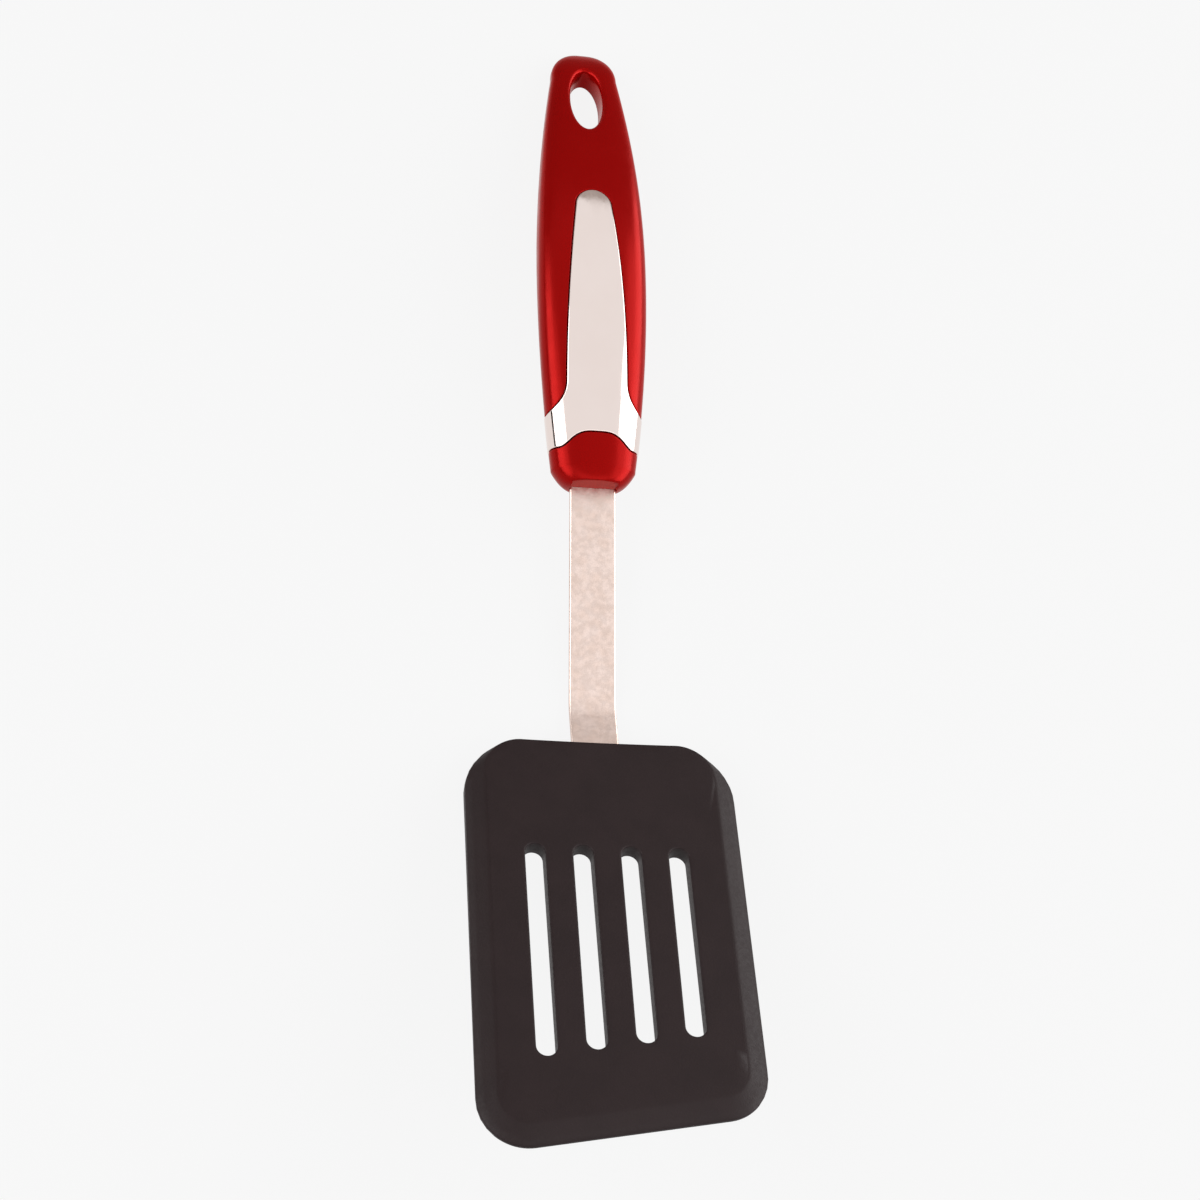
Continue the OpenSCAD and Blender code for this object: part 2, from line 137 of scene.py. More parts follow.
@dataclass
class Skin:
    """Grids of points that are sewn into one closed surface."""

    grids: list[np.ndarray] = field(default_factory=list)
    quads: list[np.ndarray] = field(default_factory=list)
    size: int = 0

    def add(self, grid: np.ndarray, ring: bool = True, tube: bool = False) -> None:
        """Adds a grid of points, joined to its neighbours by four-sided faces.

        Args:
            grid: rows of points, as (rows, columns, 3).
            ring: whether the last column joins the first.
            tube: whether the last row joins the first.
        """
        rows, columns = grid.shape[:2]
        r = np.arange(rows if tube else rows - 1)[:, None]
        c = np.arange(columns if ring else columns - 1)[None, :]
        r2, c2 = (r + 1) % rows, (c + 1) % columns
        corners = [r * columns + c, r * columns + c2, r2 * columns + c2, r2 * columns + c]
        shape = np.broadcast(r, c).shape
        faces = np.stack([np.broadcast_to(k, shape) for k in corners], axis=-1).reshape(-1, 4)
        self.quads.append(faces + self.size)
        self.grids.append(grid.reshape(-1, 3))
        self.size += rows * columns

    def sewn(self) -> tuple[np.ndarray, list[list[int]]]:
        """Merges points that coincide and drops the faces that closed up.

        Returns:
            The points, and the faces as lists of point numbers.
        """
        cloud = np.concatenate(self.grids)
        rounded = np.round(cloud, MERGE_DECIMALS)
        _, first, number = np.unique(rounded, axis=0, return_index=True, return_inverse=True)
        quads = number.reshape(-1)[np.concatenate(self.quads)]
        same = quads == np.roll(quads, -1, axis=1)
        crossed = (quads[:, 0] == quads[:, 2]) | (quads[:, 1] == quads[:, 3])
        faces = quads[(same.sum(1) == 0) & ~crossed].tolist()
        for side in range(4):
            shut = (same.sum(1) == 1) & same[:, side] & ~crossed
            faces += quads[shut][:, [(side + k) % 4 for k in (1, 2, 3)]].tolist()
        return cloud[first], faces


# ---------------------------------------------------------------------------------------------
# The handle's form and its joint lines
# ---------------------------------------------------------------------------------------------


@dataclass(frozen=True)
class HandleForm:
    """The handle as one smooth body: superellipse sections about a middle plane that curves down."""

    length: float = 157.1
    nose_w: float = 25.8
    belly_w: float = 34.1
    tail_w: float = 21.4
    nose_t: float = 15.8
    belly_t: float = 16.4
    tail_t: float = 8.6
    belly_y: float = 70.2
    straight_l: float = 19.2
    tail_drop: float = 20.6
    nose_squareness: float = 2.3
    tail_squareness: float = 3.6
    squaring_y: float = 30.0
    squaring_short: float = 55.0
    tail_round_l: float = 11.0
    tail_round_power: float = 2.15
    dome_l: float = 5.5
    dome_power: float = 0.45
    face_w: float = 12.0
    face_t: float = 11.0

    @property
    def tail_y(self) -> float:
        """Where the round tail starts."""
        return self.length - self.tail_round_l

    def middle(self, y: np.ndarray) -> np.ndarray:
        """Height of the middle plane: level, then a parabola down to the tail.

        Args:
            y: place along the handle.

        Returns:
            The height at y.
        """
        bent = self.length - self.straight_l
        return -self.tail_drop * (np.maximum(y - self.straight_l, 0) / bent) ** 2

    def slope(self, y: float) -> float:
        """Slope of the middle plane at y, as an angle.

        Args:
            y: place along the handle.

        Returns:
            The angle, which is negative where the handle falls.
        """
        bent = self.length - self.straight_l
        return math.atan(-2 * self.tail_drop * max(y - self.straight_l, 0) / bent**2)

    def _sized(self, y: np.ndarray, face: float, full: np.ndarray) -> np.ndarray:
        """Half of a full size, narrowed by a power law in the dome and rounded off in the tail.

        Args:
            y: place along the handle.
            face: the full size at the flat of the nose.
            full: the full size without dome and round.

        Returns:
            The half size at y.
        """
        dome = face + (full - face) * np.clip(y / self.dome_l, 0, 1) ** self.dome_power
        return dome * round_off((y - self.tail_y) / self.tail_round_l, self.tail_round_power) / 2

    def half_width(self, y: np.ndarray) -> np.ndarray:
        """Half-width at y: a parabola from the nose up to the belly and another down to the tail.

        Args:
            y: place along the handle.

        Returns:
            The half-width.
        """
        front = (self.belly_y - np.maximum(y, self.dome_l)) / (self.belly_y - self.dome_l)
        rear = (np.minimum(y, self.tail_y) - self.belly_y) / (self.tail_y - self.belly_y)
        narrower = np.where(
            y < self.belly_y,
            (self.belly_w - self.nose_w) * front**2,
            (self.belly_w - self.tail_w) * rear**2,
        )
        return self._sized(y, self.face_w, self.belly_w - narrower)

    def half_thickness(self, y: np.ndarray) -> np.ndarray:
        """Half-thickness at y: a parabola up to the belly, then a smooth step down to the tail.

        Args:
            y: place along the handle.

        Returns:
            The half-thickness.
        """
        front = (self.belly_y - np.maximum(y, self.dome_l)) / (self.belly_y - self.dome_l)
        rear = smooth((y - self.belly_y) / (self.tail_y - self.belly_y))
        thinner = np.where(
            y < self.belly_y,
            (self.belly_t - self.nose_t) * front**2,
            (self.belly_t - self.tail_t) * rear,
        )
        return self._sized(y, self.face_t, self.belly_t - thinner)

    def squareness(self, y: np.ndarray) -> np.ndarray:
        """Power of the superellipse at y, 2 for an ellipse and more for a squarer section.

        Args:
            y: place along the handle.

        Returns:
            The power.
        """
        share = smooth((y - self.squaring_y) / (self.tail_y - self.squaring_short))
        return self.nose_squareness + (self.tail_squareness - self.nose_squareness) * share

    def skin(self, angle: np.ndarray, y: np.ndarray, grow: float = 0.0) -> np.ndarray:
        """Points of the skin: x = w cos^e and z = middle + t sin^e, with e = 2 / squareness.

        Args:
            angle: angle round the section, 0 on the right side and a quarter turn on the top.
            y: place along the handle.
            grow: how far the section is grown outwards.

        Returns:
            The points, in the shank's frame.
        """
        power = 2 / self.squareness(y)
        x = (self.half_width(y) + grow) * signed_power(np.cos(angle), power)
        z = (self.half_thickness(y) + grow) * signed_power(np.sin(angle), power)
        return points(x, y, self.middle(y) + z)

    def height(self, x: np.ndarray, y: np.ndarray, side: int) -> np.ndarray:
        """Height of the skin over a plan point, on the top (side 1) or the underside (side -1).

        Args:
            x: distance from the middle.
            y: place along the handle.
            side: 1 for the top and -1 for the underside.

        Returns:
            The height, z.
        """
        share = np.abs(x) / np.maximum(self.half_width(y), 1e-9)
        return self.middle(y) + side * self.half_thickness(y) * round_off(share, self.squareness(y))


@dataclass(frozen=True)
class JointLines:
    """Where the nose cap, the collar and the grip meet, as lines seen from above."""

    form: HandleForm
    cap_side_y: float = 11.3
    cap_arch_l: float = 4.7
    cap_arch_half_w: float = 11.2
    cap_arch_power: float = 1.9
    tongue_w: float = 18.5
    tongue_tip_w: float = 9.7
    tongue_tip_y: float = 99.5
    tongue_tip_l: float = 5.0
    flare_y: float = 33.7
    band_y: float = 22.5
    band_overrun: float = 2.0
    flare_power: float = 2.7
    gap: float = 0.3
    corrections: int = 12
    line_points: int = 240
    tip_points: int = 160
    root_weight: float = 2.2
    side_weight: float = 0.8
    tip_weight: float = 4.0
    quarter_columns: int = 100

    def cap_edge(self, x: np.ndarray) -> np.ndarray:
        """Rear edge of the cap: level at the sides, with one cosine arch in the middle.

        Args:
            x: distance from the middle.

        Returns:
            The place along the handle, y.
        """
        share = np.minimum(np.abs(x) / self.cap_arch_half_w, 1)
        return self.cap_side_y + self.cap_arch_l * (1 + np.cos(math.pi * share**self.cap_arch_power)) / 2

    def cap_loop(self, angle: np.ndarray, offset: float, grow: float) -> np.ndarray:
        """Place along the handle of the cap's edge at each angle, found by repeated correction.

        Args:
            angle: angles round the section.
            offset: distance behind the edge, square to it.
            grow: how far the section is grown.

        Returns:
            y for each angle.
        """
        step = 0.01
        y = np.full_like(angle, self.cap_side_y)
        for _ in range(self.corrections):
            x = self.form.skin(angle, y, grow)[..., 0]
            lean = (self.cap_edge(x + step) - self.cap_edge(x - step)) / (2 * step)
            y = self.cap_edge(x) + offset * np.sqrt(1 + lean**2)
        return y

    @cached_property
    def _plan(self) -> tuple[np.ndarray, np.ndarray]:
        """The tongue's right outline from past the handle's side to its tip, and its column weights.

        The half-width falls by a parabola to the tip, rounds off there as a quarter of an ellipse, and
        spreads by a power law at the root.
        """
        tip_start = self.tongue_tip_y - self.tongue_tip_l
        turn = quarter_turn(self.tip_points)[1:]
        y = np.concatenate([
            np.linspace(self.band_y - self.band_overrun, self.flare_y, self.line_points)[:-1],
            np.linspace(self.flare_y, tip_start, self.line_points),
            tip_start + self.tongue_tip_l * np.sin(turn),
        ])
        taper = (np.maximum(y - self.flare_y, 0) / (self.tongue_tip_y - self.flare_y)) ** 2
        half = (self.tongue_w - (self.tongue_w - self.tongue_tip_w) * taper) / 2
        half[-len(turn):] *= np.cos(turn)
        spread = float(self.form.half_width(np.array(self.band_y))) - self.tongue_w / 2
        root = np.maximum(self.flare_y - y, 0) / (self.flare_y - self.band_y)
        half += spread * root**self.flare_power
        past_root = np.where(y < tip_start, self.side_weight, self.tip_weight)
        weight = np.where(y < self.flare_y, self.root_weight, past_root)
        return np.stack([half, y], axis=1), weight[1:]

    def tongue_loop(self, offset: float, grow: float) -> tuple[np.ndarray, np.ndarray]:
        """The closed line between the collar and the grip, over both tongues.

        Args:
            offset: distance outside the tongue's outline, square to it.
            grow: how far the section is grown.

        Returns:
            The angle and the place along the handle of each of the loop's points.
        """
        line, weight = self._plan
        run = np.gradient(line, axis=0)
        run /= np.linalg.norm(run, axis=1, keepdims=True)
        moved = line + offset * np.stack([run[:, 1], -run[:, 0]], axis=1)
        moved[-1] = (0.0, self.tongue_tip_y + offset)
        share = moved[:, 0] / (self.form.half_width(moved[:, 1]) + grow)
        start = int(np.argmax(share < 1))
        first = moved[start - 1] + (moved[start] - moved[start - 1]) * (
            (share[start - 1] - 1) / (share[start - 1] - share[start])
        )
        line = np.concatenate([[first], moved[start:]])
        share = np.clip(line[:, 0] / (self.form.half_width(line[:, 1]) + grow), 0, 1)
        share[0] = 1.0
        angle = np.arccos(share ** (self.form.squareness(line[:, 1]) / 2))
        solid = self.form.skin(angle, line[:, 1], grow)
        dense = np.concatenate([solid, angle[:, None], line[:, 1:]], axis=1)
        steps = np.linalg.norm(np.diff(solid, axis=0), axis=1) * weight[start - 1:]
        run_length = np.concatenate([[0.0], np.cumsum(steps)])
        places = np.linspace(0, run_length[-1], self.quarter_columns)
        quarter = np.interp(places, run_length, dense[:, 3])
        y = np.interp(places, run_length, dense[:, 4])
        quarter[-1], y[-1] = math.pi / 2, self.tongue_tip_y + offset
        angles = np.concatenate([
            quarter, math.pi - quarter[-2::-1], math.pi + quarter[1:], FULL_TURN - quarter[-2:0:-1]
        ])
        return angles, np.concatenate([y, y[-2::-1], y[1:], y[-2:0:-1]])


# ---------------------------------------------------------------------------------------------
# Lying on the table
# ---------------------------------------------------------------------------------------------


@dataclass(frozen=True)
class StrapLine:
    """The shank's centre line: straight out of the handle, one bend, and up the blade's slope."""

    width: float = 14.0
    thickness: float = 1.8
    straight_l: float = 67.8
    neck_l: float = 14.4
    bend_r: float = 16.0
    rise: float = math.radians(20.5)
    front_tang_l: float = 26.0
    front_tang_depth: float = 4.2
    rear_tang_l: float = 59.0
    edge_r: float = 0.55

    @property
    def half_bend(self) -> float:
        """Distance from the bend's corner to either end of the bend."""
        return self.bend_r * math.tan(self.rise / 2)

    @property
    def bend_centre(self) -> tuple[float, float]:
        """Centre of the bend, as (y, z)."""
        return (-self.straight_l + self.half_bend, self.bend_r - self.thickness / 2)

    @property
    def blade_origin(self) -> tuple[float, float]:
        """Middle of the blade's rear edge on its top face, as (y, z)."""
        c, s = math.cos(self.rise), math.sin(self.rise)
        y = -self.straight_l - self.neck_l * c + self.front_tang_depth * s
        return (y, self.neck_l * s + self.front_tang_depth * c)

    def on_blade(self, local: np.ndarray) -> np.ndarray:
        """Turns points from the blade's frame, y back along it and z out of its top, into the shank's.

        Args:
            local: points in the blade's frame.

        Returns:
            The points in the shank's frame.
        """
        y0, z0 = self.blade_origin
        c, s = math.cos(self.rise), math.sin(self.rise)
        x, y, z = local[..., 0], local[..., 1], local[..., 2]
        return points(x, y0 + y * c + z * s, z0 - y * s + z * c)


@dataclass
class RestPose:
    """How the spatula lies: turned up until the heel of the bend and the tail both touch the table."""

    form: HandleForm
    strap: StrapLine
    tilt: float = 0.0
    shift: float = 0.0
    lift: float = 0.0

    def __post_init__(self) -> None:
        """Settles the tilt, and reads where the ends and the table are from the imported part."""
        first_guess, rounds, samples = math.radians(5), 8, 400
        y = np.linspace(0, self.form.length, samples)
        low = self.form.middle(y) - self.form.half_thickness(y)
        centre_y, centre_z = self.strap.bend_centre
        outer_r = self.strap.bend_r + self.strap.thickness / 2
        self.tilt = first_guess
        for _ in range(rounds):
            heel = centre_y * math.sin(self.tilt) + centre_z * math.cos(self.tilt) - outer_r
            tail = float(np.min(y * math.sin(self.tilt) + low * math.cos(self.tilt)))
            self.tilt += math.asin((heel - tail) / (self.form.length + self.strap.straight_l))
        rear_end = float(np.max(y * math.cos(self.tilt) - self.form.middle(y) * math.sin(self.tilt)))
        self.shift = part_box("grip")[1].y / MM - rear_end
        self.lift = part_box("shank")[0].z / MM - heel
        LOG.info("rest pose: tilt %.3f degrees", math.degrees(self.tilt))

    def lay(self, local: np.ndarray) -> np.ndarray:
        """Turns points from the shank's frame in millimetres into the row's frame in metres.

        Args:
            local: points in the shank's frame, in millimetres.

        Returns:
            The points in the row's frame, in metres.
        """
        c, s = math.cos(self.tilt), math.sin(self.tilt)
        y, z = local[..., 1], local[..., 2]
        return points(local[..., 0], y * c - z * s + self.shift, y * s + z * c + self.lift) * MM

    def turn(self, vector: np.ndarray) -> np.ndarray:
        """Turns a direction from the shank's frame into the row's.

        Args:
            vector: a direction in the shank's frame.

        Returns:
            The direction in the row's frame.
        """
        c, s = math.cos(self.tilt), math.sin(self.tilt)
        return np.array([vector[0], vector[1] * c - vector[2] * s, vector[1] * s + vector[2] * c])


# ---------------------------------------------------------------------------------------------
# Finishes
# ---------------------------------------------------------------------------------------------


class Relief(Enum):
    """Kinds of fine surface pattern, each one shared shader group."""

    CLOUD = "cloud_relief"
    HAIRLINE = "hairline_relief"


class NodeSheet:
    """A small helper that places and wires shader nodes."""

    def __init__(self, tree: bpy.types.NodeTree) -> None:
        """Keeps the tree that the nodes go into."""
        self.tree = tree

    def place(
        self, kind: str, settings: dict[str, object] | None = None, **inputs: object
    ) -> bpy.types.Node:
        """Adds one node.

        Args:
            kind: Blender's name of the node.
            settings: the node's own properties.
            inputs: a value, or an output to link, for each input, with _ for a space in its name.

        Returns:
            The node.
        """
        node = self.tree.nodes.new(kind)
        for name, value in (settings or {}).items():
            setattr(node, name, value)
        for name, value in inputs.items():
            self.feed(node.inputs[name.replace("_", " ")], value)
        return node

    def feed(self, socket: bpy.types.NodeSocket, value: object) -> None:
        """Links an output to a socket, or sets the socket's own value.

        Args:
            socket: the input.
            value: another node's output, or a value.
        """
        if isinstance(value, bpy.types.NodeSocket):
            self.tree.links.new(value, socket)
        else:
            socket.default_value = value

    def ramp(
        self, value: bpy.types.NodeSocket, low: float, high: float, to_low: float, to_high: float
    ) -> bpy.types.NodeSocket:
        """Maps a value smoothly from one range to another, held at its ends.

        Args:
            value: the output to map.
            low: where the mapping starts.
            high: where the mapping ends.
            to_low: the result at low.
            to_high: the result at high.

        Returns:
            The output with the result.
        """
        node = self.place("ShaderNodeMapRange", {"interpolation_type": "SMOOTHSTEP"}, Value=value)
        ends = {"From Min": low, "From Max": high, "To Min": to_low, "To Max": to_high}
        for name, number in ends.items():
            self.feed(node.inputs[name], number)
        return node.outputs["Result"]

    def tint(self, share: bpy.types.NodeSocket, first: tuple, second: tuple) -> bpy.types.NodeSocket:
        """A colour between two, by a share.

        Args:
            share: the output that says how far to go.
            first: the colour at 0.
            second: the colour at 1.

        Returns:
            The output with the colour.
        """
        node = self.place("ShaderNodeMix", {"data_type": "RGBA"})
        self.feed(node.inputs[0], share)
        self.feed(node.inputs[6], (*first, 1.0))
        self.feed(node.inputs[7], (*second, 1.0))
        return node.outputs[2]


class ReliefLibrary:
    """Builds each shared pattern group once."""

    def __init__(self) -> None:
        """Makes the two groups."""
        self.groups = {
            Relief.CLOUD: self._noise(Relief.CLOUD, detail=3.0, sharp=(0.3, 0.7)),
            Relief.HAIRLINE: self._noise(Relief.HAIRLINE, detail=6.0, sharp=(0.35, 0.65)),
        }

    @staticmethod
    def _noise(kind: Relief, detail: float, sharp: tuple[float, float]) -> bpy.types.ShaderNodeTree:
        """A group that turns object coordinates, stretched by Stretch, into smooth noise from 0 to 1.

        Args:
            kind: the pattern, which names the group.
            detail: how many finer layers the noise has.
            sharp: the noise values that become 0 and 1.

        Returns:
            The group.
        """
        tree = bpy.data.node_groups.new(kind.value, "ShaderNodeTree")
        tree.interface.new_socket("Scale", in_out="INPUT", socket_type="NodeSocketFloat")
        tree.interface.new_socket("Stretch", in_out="INPUT", socket_type="NodeSocketVector")
        tree.interface.new_socket("Mask", in_out="OUTPUT", socket_type="NodeSocketFloat")
        sheet = NodeSheet(tree)
        start, end = sheet.place("NodeGroupInput"), sheet.place("NodeGroupOutput")
        place = sheet.place("ShaderNodeTexCoord").outputs["Object"]
        mapped = sheet.place("ShaderNodeVectorMath", {"operation": "MULTIPLY"})
        sheet.feed(mapped.inputs[0], place)
        sheet.feed(mapped.inputs[1], start.outputs["Stretch"])
        noise = sheet.place(
            "ShaderNodeTexNoise",
            Vector=mapped.outputs[0],
            Scale=start.outputs["Scale"],
            Detail=detail,
            Roughness=0.55,
        )
        sheet.feed(end.inputs["Mask"], sheet.ramp(noise.outputs["Fac"], *sharp, 0.0, 1.0))
        return tree

    def mask(
        self,
        sheet: NodeSheet,
        kind: Relief,
        scale: float,
        stretch: tuple[float, float, float] = (1, 1, 1),
    ) -> bpy.types.NodeSocket:
        """Places one pattern group in a material and returns its mask.

        Args:
            sheet: the material's nodes.
            kind: the pattern.
            scale: how fine the pattern is, in repeats a metre.
            stretch: how much the pattern is drawn together along each axis.

        Returns:
            The output with the mask.
        """
        group = {"node_tree": self.groups[kind]}
        node = sheet.place("ShaderNodeGroup", group, Scale=scale, Stretch=stretch)
        return node.outputs["Mask"]


@dataclass(frozen=True)
class Finish:
    """One material: two colours mixed by a cloudy pattern, with a pattern for roughness and for bump."""

    name: str
    slot: str
    colour: tuple[float, float, float]
    second_colour: tuple[float, float, float]
    cloud_scale: float
    metallic: float
    roughness: tuple[float, float]
    rough_pattern: Relief
    rough_scale: float
    rough_stretch: tuple[float, float, float]
    bump_pattern: Relief
    bump_scale: float
    bump_stretch: tuple[float, float, float]
    bump_height: float
    specular: float = 0.5
    specular_tint: tuple[float, float, float] = (1.0, 1.0, 1.0)

    def build(self, library: ReliefLibrary) -> bpy.types.Material:
        """Makes the material.

        Args:
            library: the shared pattern groups.

        Returns:
            The finished material.
        """
        material = bpy.data.materials.new(self.name)
        material.use_nodes = True
        material.node_tree.nodes.clear()
        sheet = NodeSheet(material.node_tree)
        shader = sheet.place("ShaderNodeBsdfPrincipled")
        cloud = library.mask(sheet, Relief.CLOUD, self.cloud_scale)
        sheet.feed(shader.inputs["Base Color"], sheet.tint(cloud, self.colour, self.second_colour))
        rough = library.mask(sheet, self.rough_pattern, self.rough_scale, self.rough_stretch)
        sheet.feed(shader.inputs["Roughness"], sheet.ramp(rough, 0.0, 1.0, *self.roughness))
        bump = sheet.place(
            "ShaderNodeBump",
            Strength=1.0,
            Distance=self.bump_height,
            Height=library.mask(sheet, self.bump_pattern, self.bump_scale, self.bump_stretch),
        )
        sheet.feed(shader.inputs["Normal"], bump.outputs["Normal"])
        sheet.feed(shader.inputs["Metallic"], self.metallic)
        sheet.feed(shader.inputs["Specular IOR Level"], self.specular)
        sheet.feed(shader.inputs["Specular Tint"], (*self.specular_tint, 1.0))
        out = sheet.place("ShaderNodeOutputMaterial")
        sheet.feed(out.inputs["Surface"], shader.outputs["BSDF"])
        material.diffuse_color = (*self.colour, 1.0)
        return material


RED_GLOSS = Finish(
    name="red_gloss_moulding",
    slot="red_plastic",
    colour=(0.330, 0.0010, 0.0008),
    second_colour=(0.318, 0.0008, 0.0007),
    cloud_scale=40.0,
    metallic=0.33,
    roughness=(0.20, 0.26),
    rough_pattern=Relief.CLOUD,
    rough_scale=160.0,
    rough_stretch=(1, 1, 1),
    bump_pattern=Relief.CLOUD,
    bump_scale=260.0,
    bump_stretch=(1, 1, 1),
    bump_height=0.000008,
    specular=0.13,
    specular_tint=(1.0, 0.55, 0.50),
)
CHROME = Finish(
    name="chrome_plate",
    slot="chrome",
    # The colour is the chrome's own near-white with a pinkish tint that is painted reflection: the tint
    # stands for the pinkish-white surroundings mirrored on the collar's top.
    colour=(0.865, 0.755, 0.715),
    second_colour=(0.85, 0.738, 0.695),
    cloud_scale=60.0,
    metallic=1.0,
    roughness=(0.05, 0.09),
    rough_pattern=Relief.HAIRLINE,
    rough_scale=420.0,
    rough_stretch=(1, 0.2, 1),
    bump_pattern=Relief.HAIRLINE,
    bump_scale=500.0,
    bump_stretch=(1, 0.3, 1),
    bump_height=0.000002,
)
STEEL = Finish(
    name="satin_steel",
    slot="steel",
    colour=(0.745, 0.610, 0.555),
    second_colour=(0.70, 0.555, 0.490),
    cloud_scale=240.0,
    metallic=1.0,
    roughness=(0.34, 0.44),
    rough_pattern=Relief.CLOUD,
    rough_scale=600.0,
    rough_stretch=(1, 1, 1),
    bump_pattern=Relief.CLOUD,
    bump_scale=900.0,
    bump_stretch=(1, 1, 1),
    bump_height=0.000010,
)
NYLON = Finish(
    name="matt_nylon",
    slot="nylon",
    colour=(0.0178, 0.0100, 0.0104),
    second_colour=(0.0150, 0.0082, 0.0086),
    cloud_scale=90.0,
    metallic=0.0,
    roughness=(0.46, 0.54),
    rough_pattern=Relief.CLOUD,
    rough_scale=900.0,
    rough_stretch=(1, 1, 1),
    bump_pattern=Relief.CLOUD,
    bump_scale=1800.0,
    bump_stretch=(1, 1, 1),
    bump_height=0.00002,
    specular=0.19,
)
CORE_PLASTIC = Finish(
    name="dark_core_moulding",
    slot="core_plastic",
    colour=(0.05, 0.05, 0.052),
    second_colour=(0.045, 0.045, 0.047),
    cloud_scale=90.0,
    metallic=0.0,
    roughness=(0.5, 0.6),
    rough_pattern=Relief.CLOUD,
    rough_scale=600.0,
    rough_stretch=(1, 1, 1),
    bump_pattern=Relief.CLOUD,
    bump_scale=1200.0,
    bump_stretch=(1, 1, 1),
    bump_height=0.00002,
)


@dataclass
class Workshop:
    """Turns skins into finished pieces that ride on the spatula."""

    pose: RestPose
    library: ReliefLibrary = field(default_factory=ReliefLibrary)
    made: dict[str, bpy.types.Material] = field(default_factory=dict)

    def material(self, finish: Finish) -> bpy.types.Material:
        """The material of a finish, made at its first use.

        Args:
            finish: the finish.

        Returns:
            The material.
        """
        if finish.name not in self.made:
            self.made[finish.name] = finish.build(self.library)
        return self.made[finish.name]

    def piece(
        self, name: str, skin: Skin, finish: Finish, node: str, sharp_degrees: float = 40.0
    ) -> bpy.types.Object:
        """Makes one finished piece.

        Args:
            name: the piece's name.
            skin: its surface, in the shank's frame.
            finish: its material.
            node: the CAD node that it stands for.
            sharp_degrees: edges that turn by more than this stay sharp.

        Returns:
            The object, at the origin, with its place in its mesh.
        """
        cloud, faces = skin.sewn()
        mesh = bpy.data.meshes.new(name)
        mesh.from_pydata(self.pose.lay(cloud).tolist(), [], faces)
        edit = bmesh.new()
        edit.from_mesh(mesh)
        bmesh.ops.recalc_face_normals(edit, faces=edit.faces)
        open_edges = sum(1 for edge in edit.edges if not edge.is_manifold)
        edit.to_mesh(mesh)
        edit.free()
        mesh.polygons.foreach_set("use_smooth", np.ones(len(mesh.polygons), dtype=bool))
        mesh.set_sharp_from_angle(angle=math.radians(sharp_degrees))
        mesh.materials.append(self.material(finish))
        made = bpy.data.objects.new(name, mesh)
        bpy.context.scene.collection.objects.link(made)
        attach(made, BODY)
        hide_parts(node)
        sizes = (len(mesh.vertices), len(mesh.polygons), open_edges)
        LOG.info("%s: %d points, %d faces, %d open edges", name, *sizes)
        return made

    def repaint(self, node: str, finish: Finish) -> None:
        """Gives a CAD node that stays its finish.

        Args:
            node: the CAD node's name.
            finish: its finish.
        """
        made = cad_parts[node]
        for slot in made.material_slots:
            slot.material = self.material(finish)
        LOG.info("%s: kept, in %s", node, finish.name)


# ---------------------------------------------------------------------------------------------
# The pieces
# ---------------------------------------------------------------------------------------------


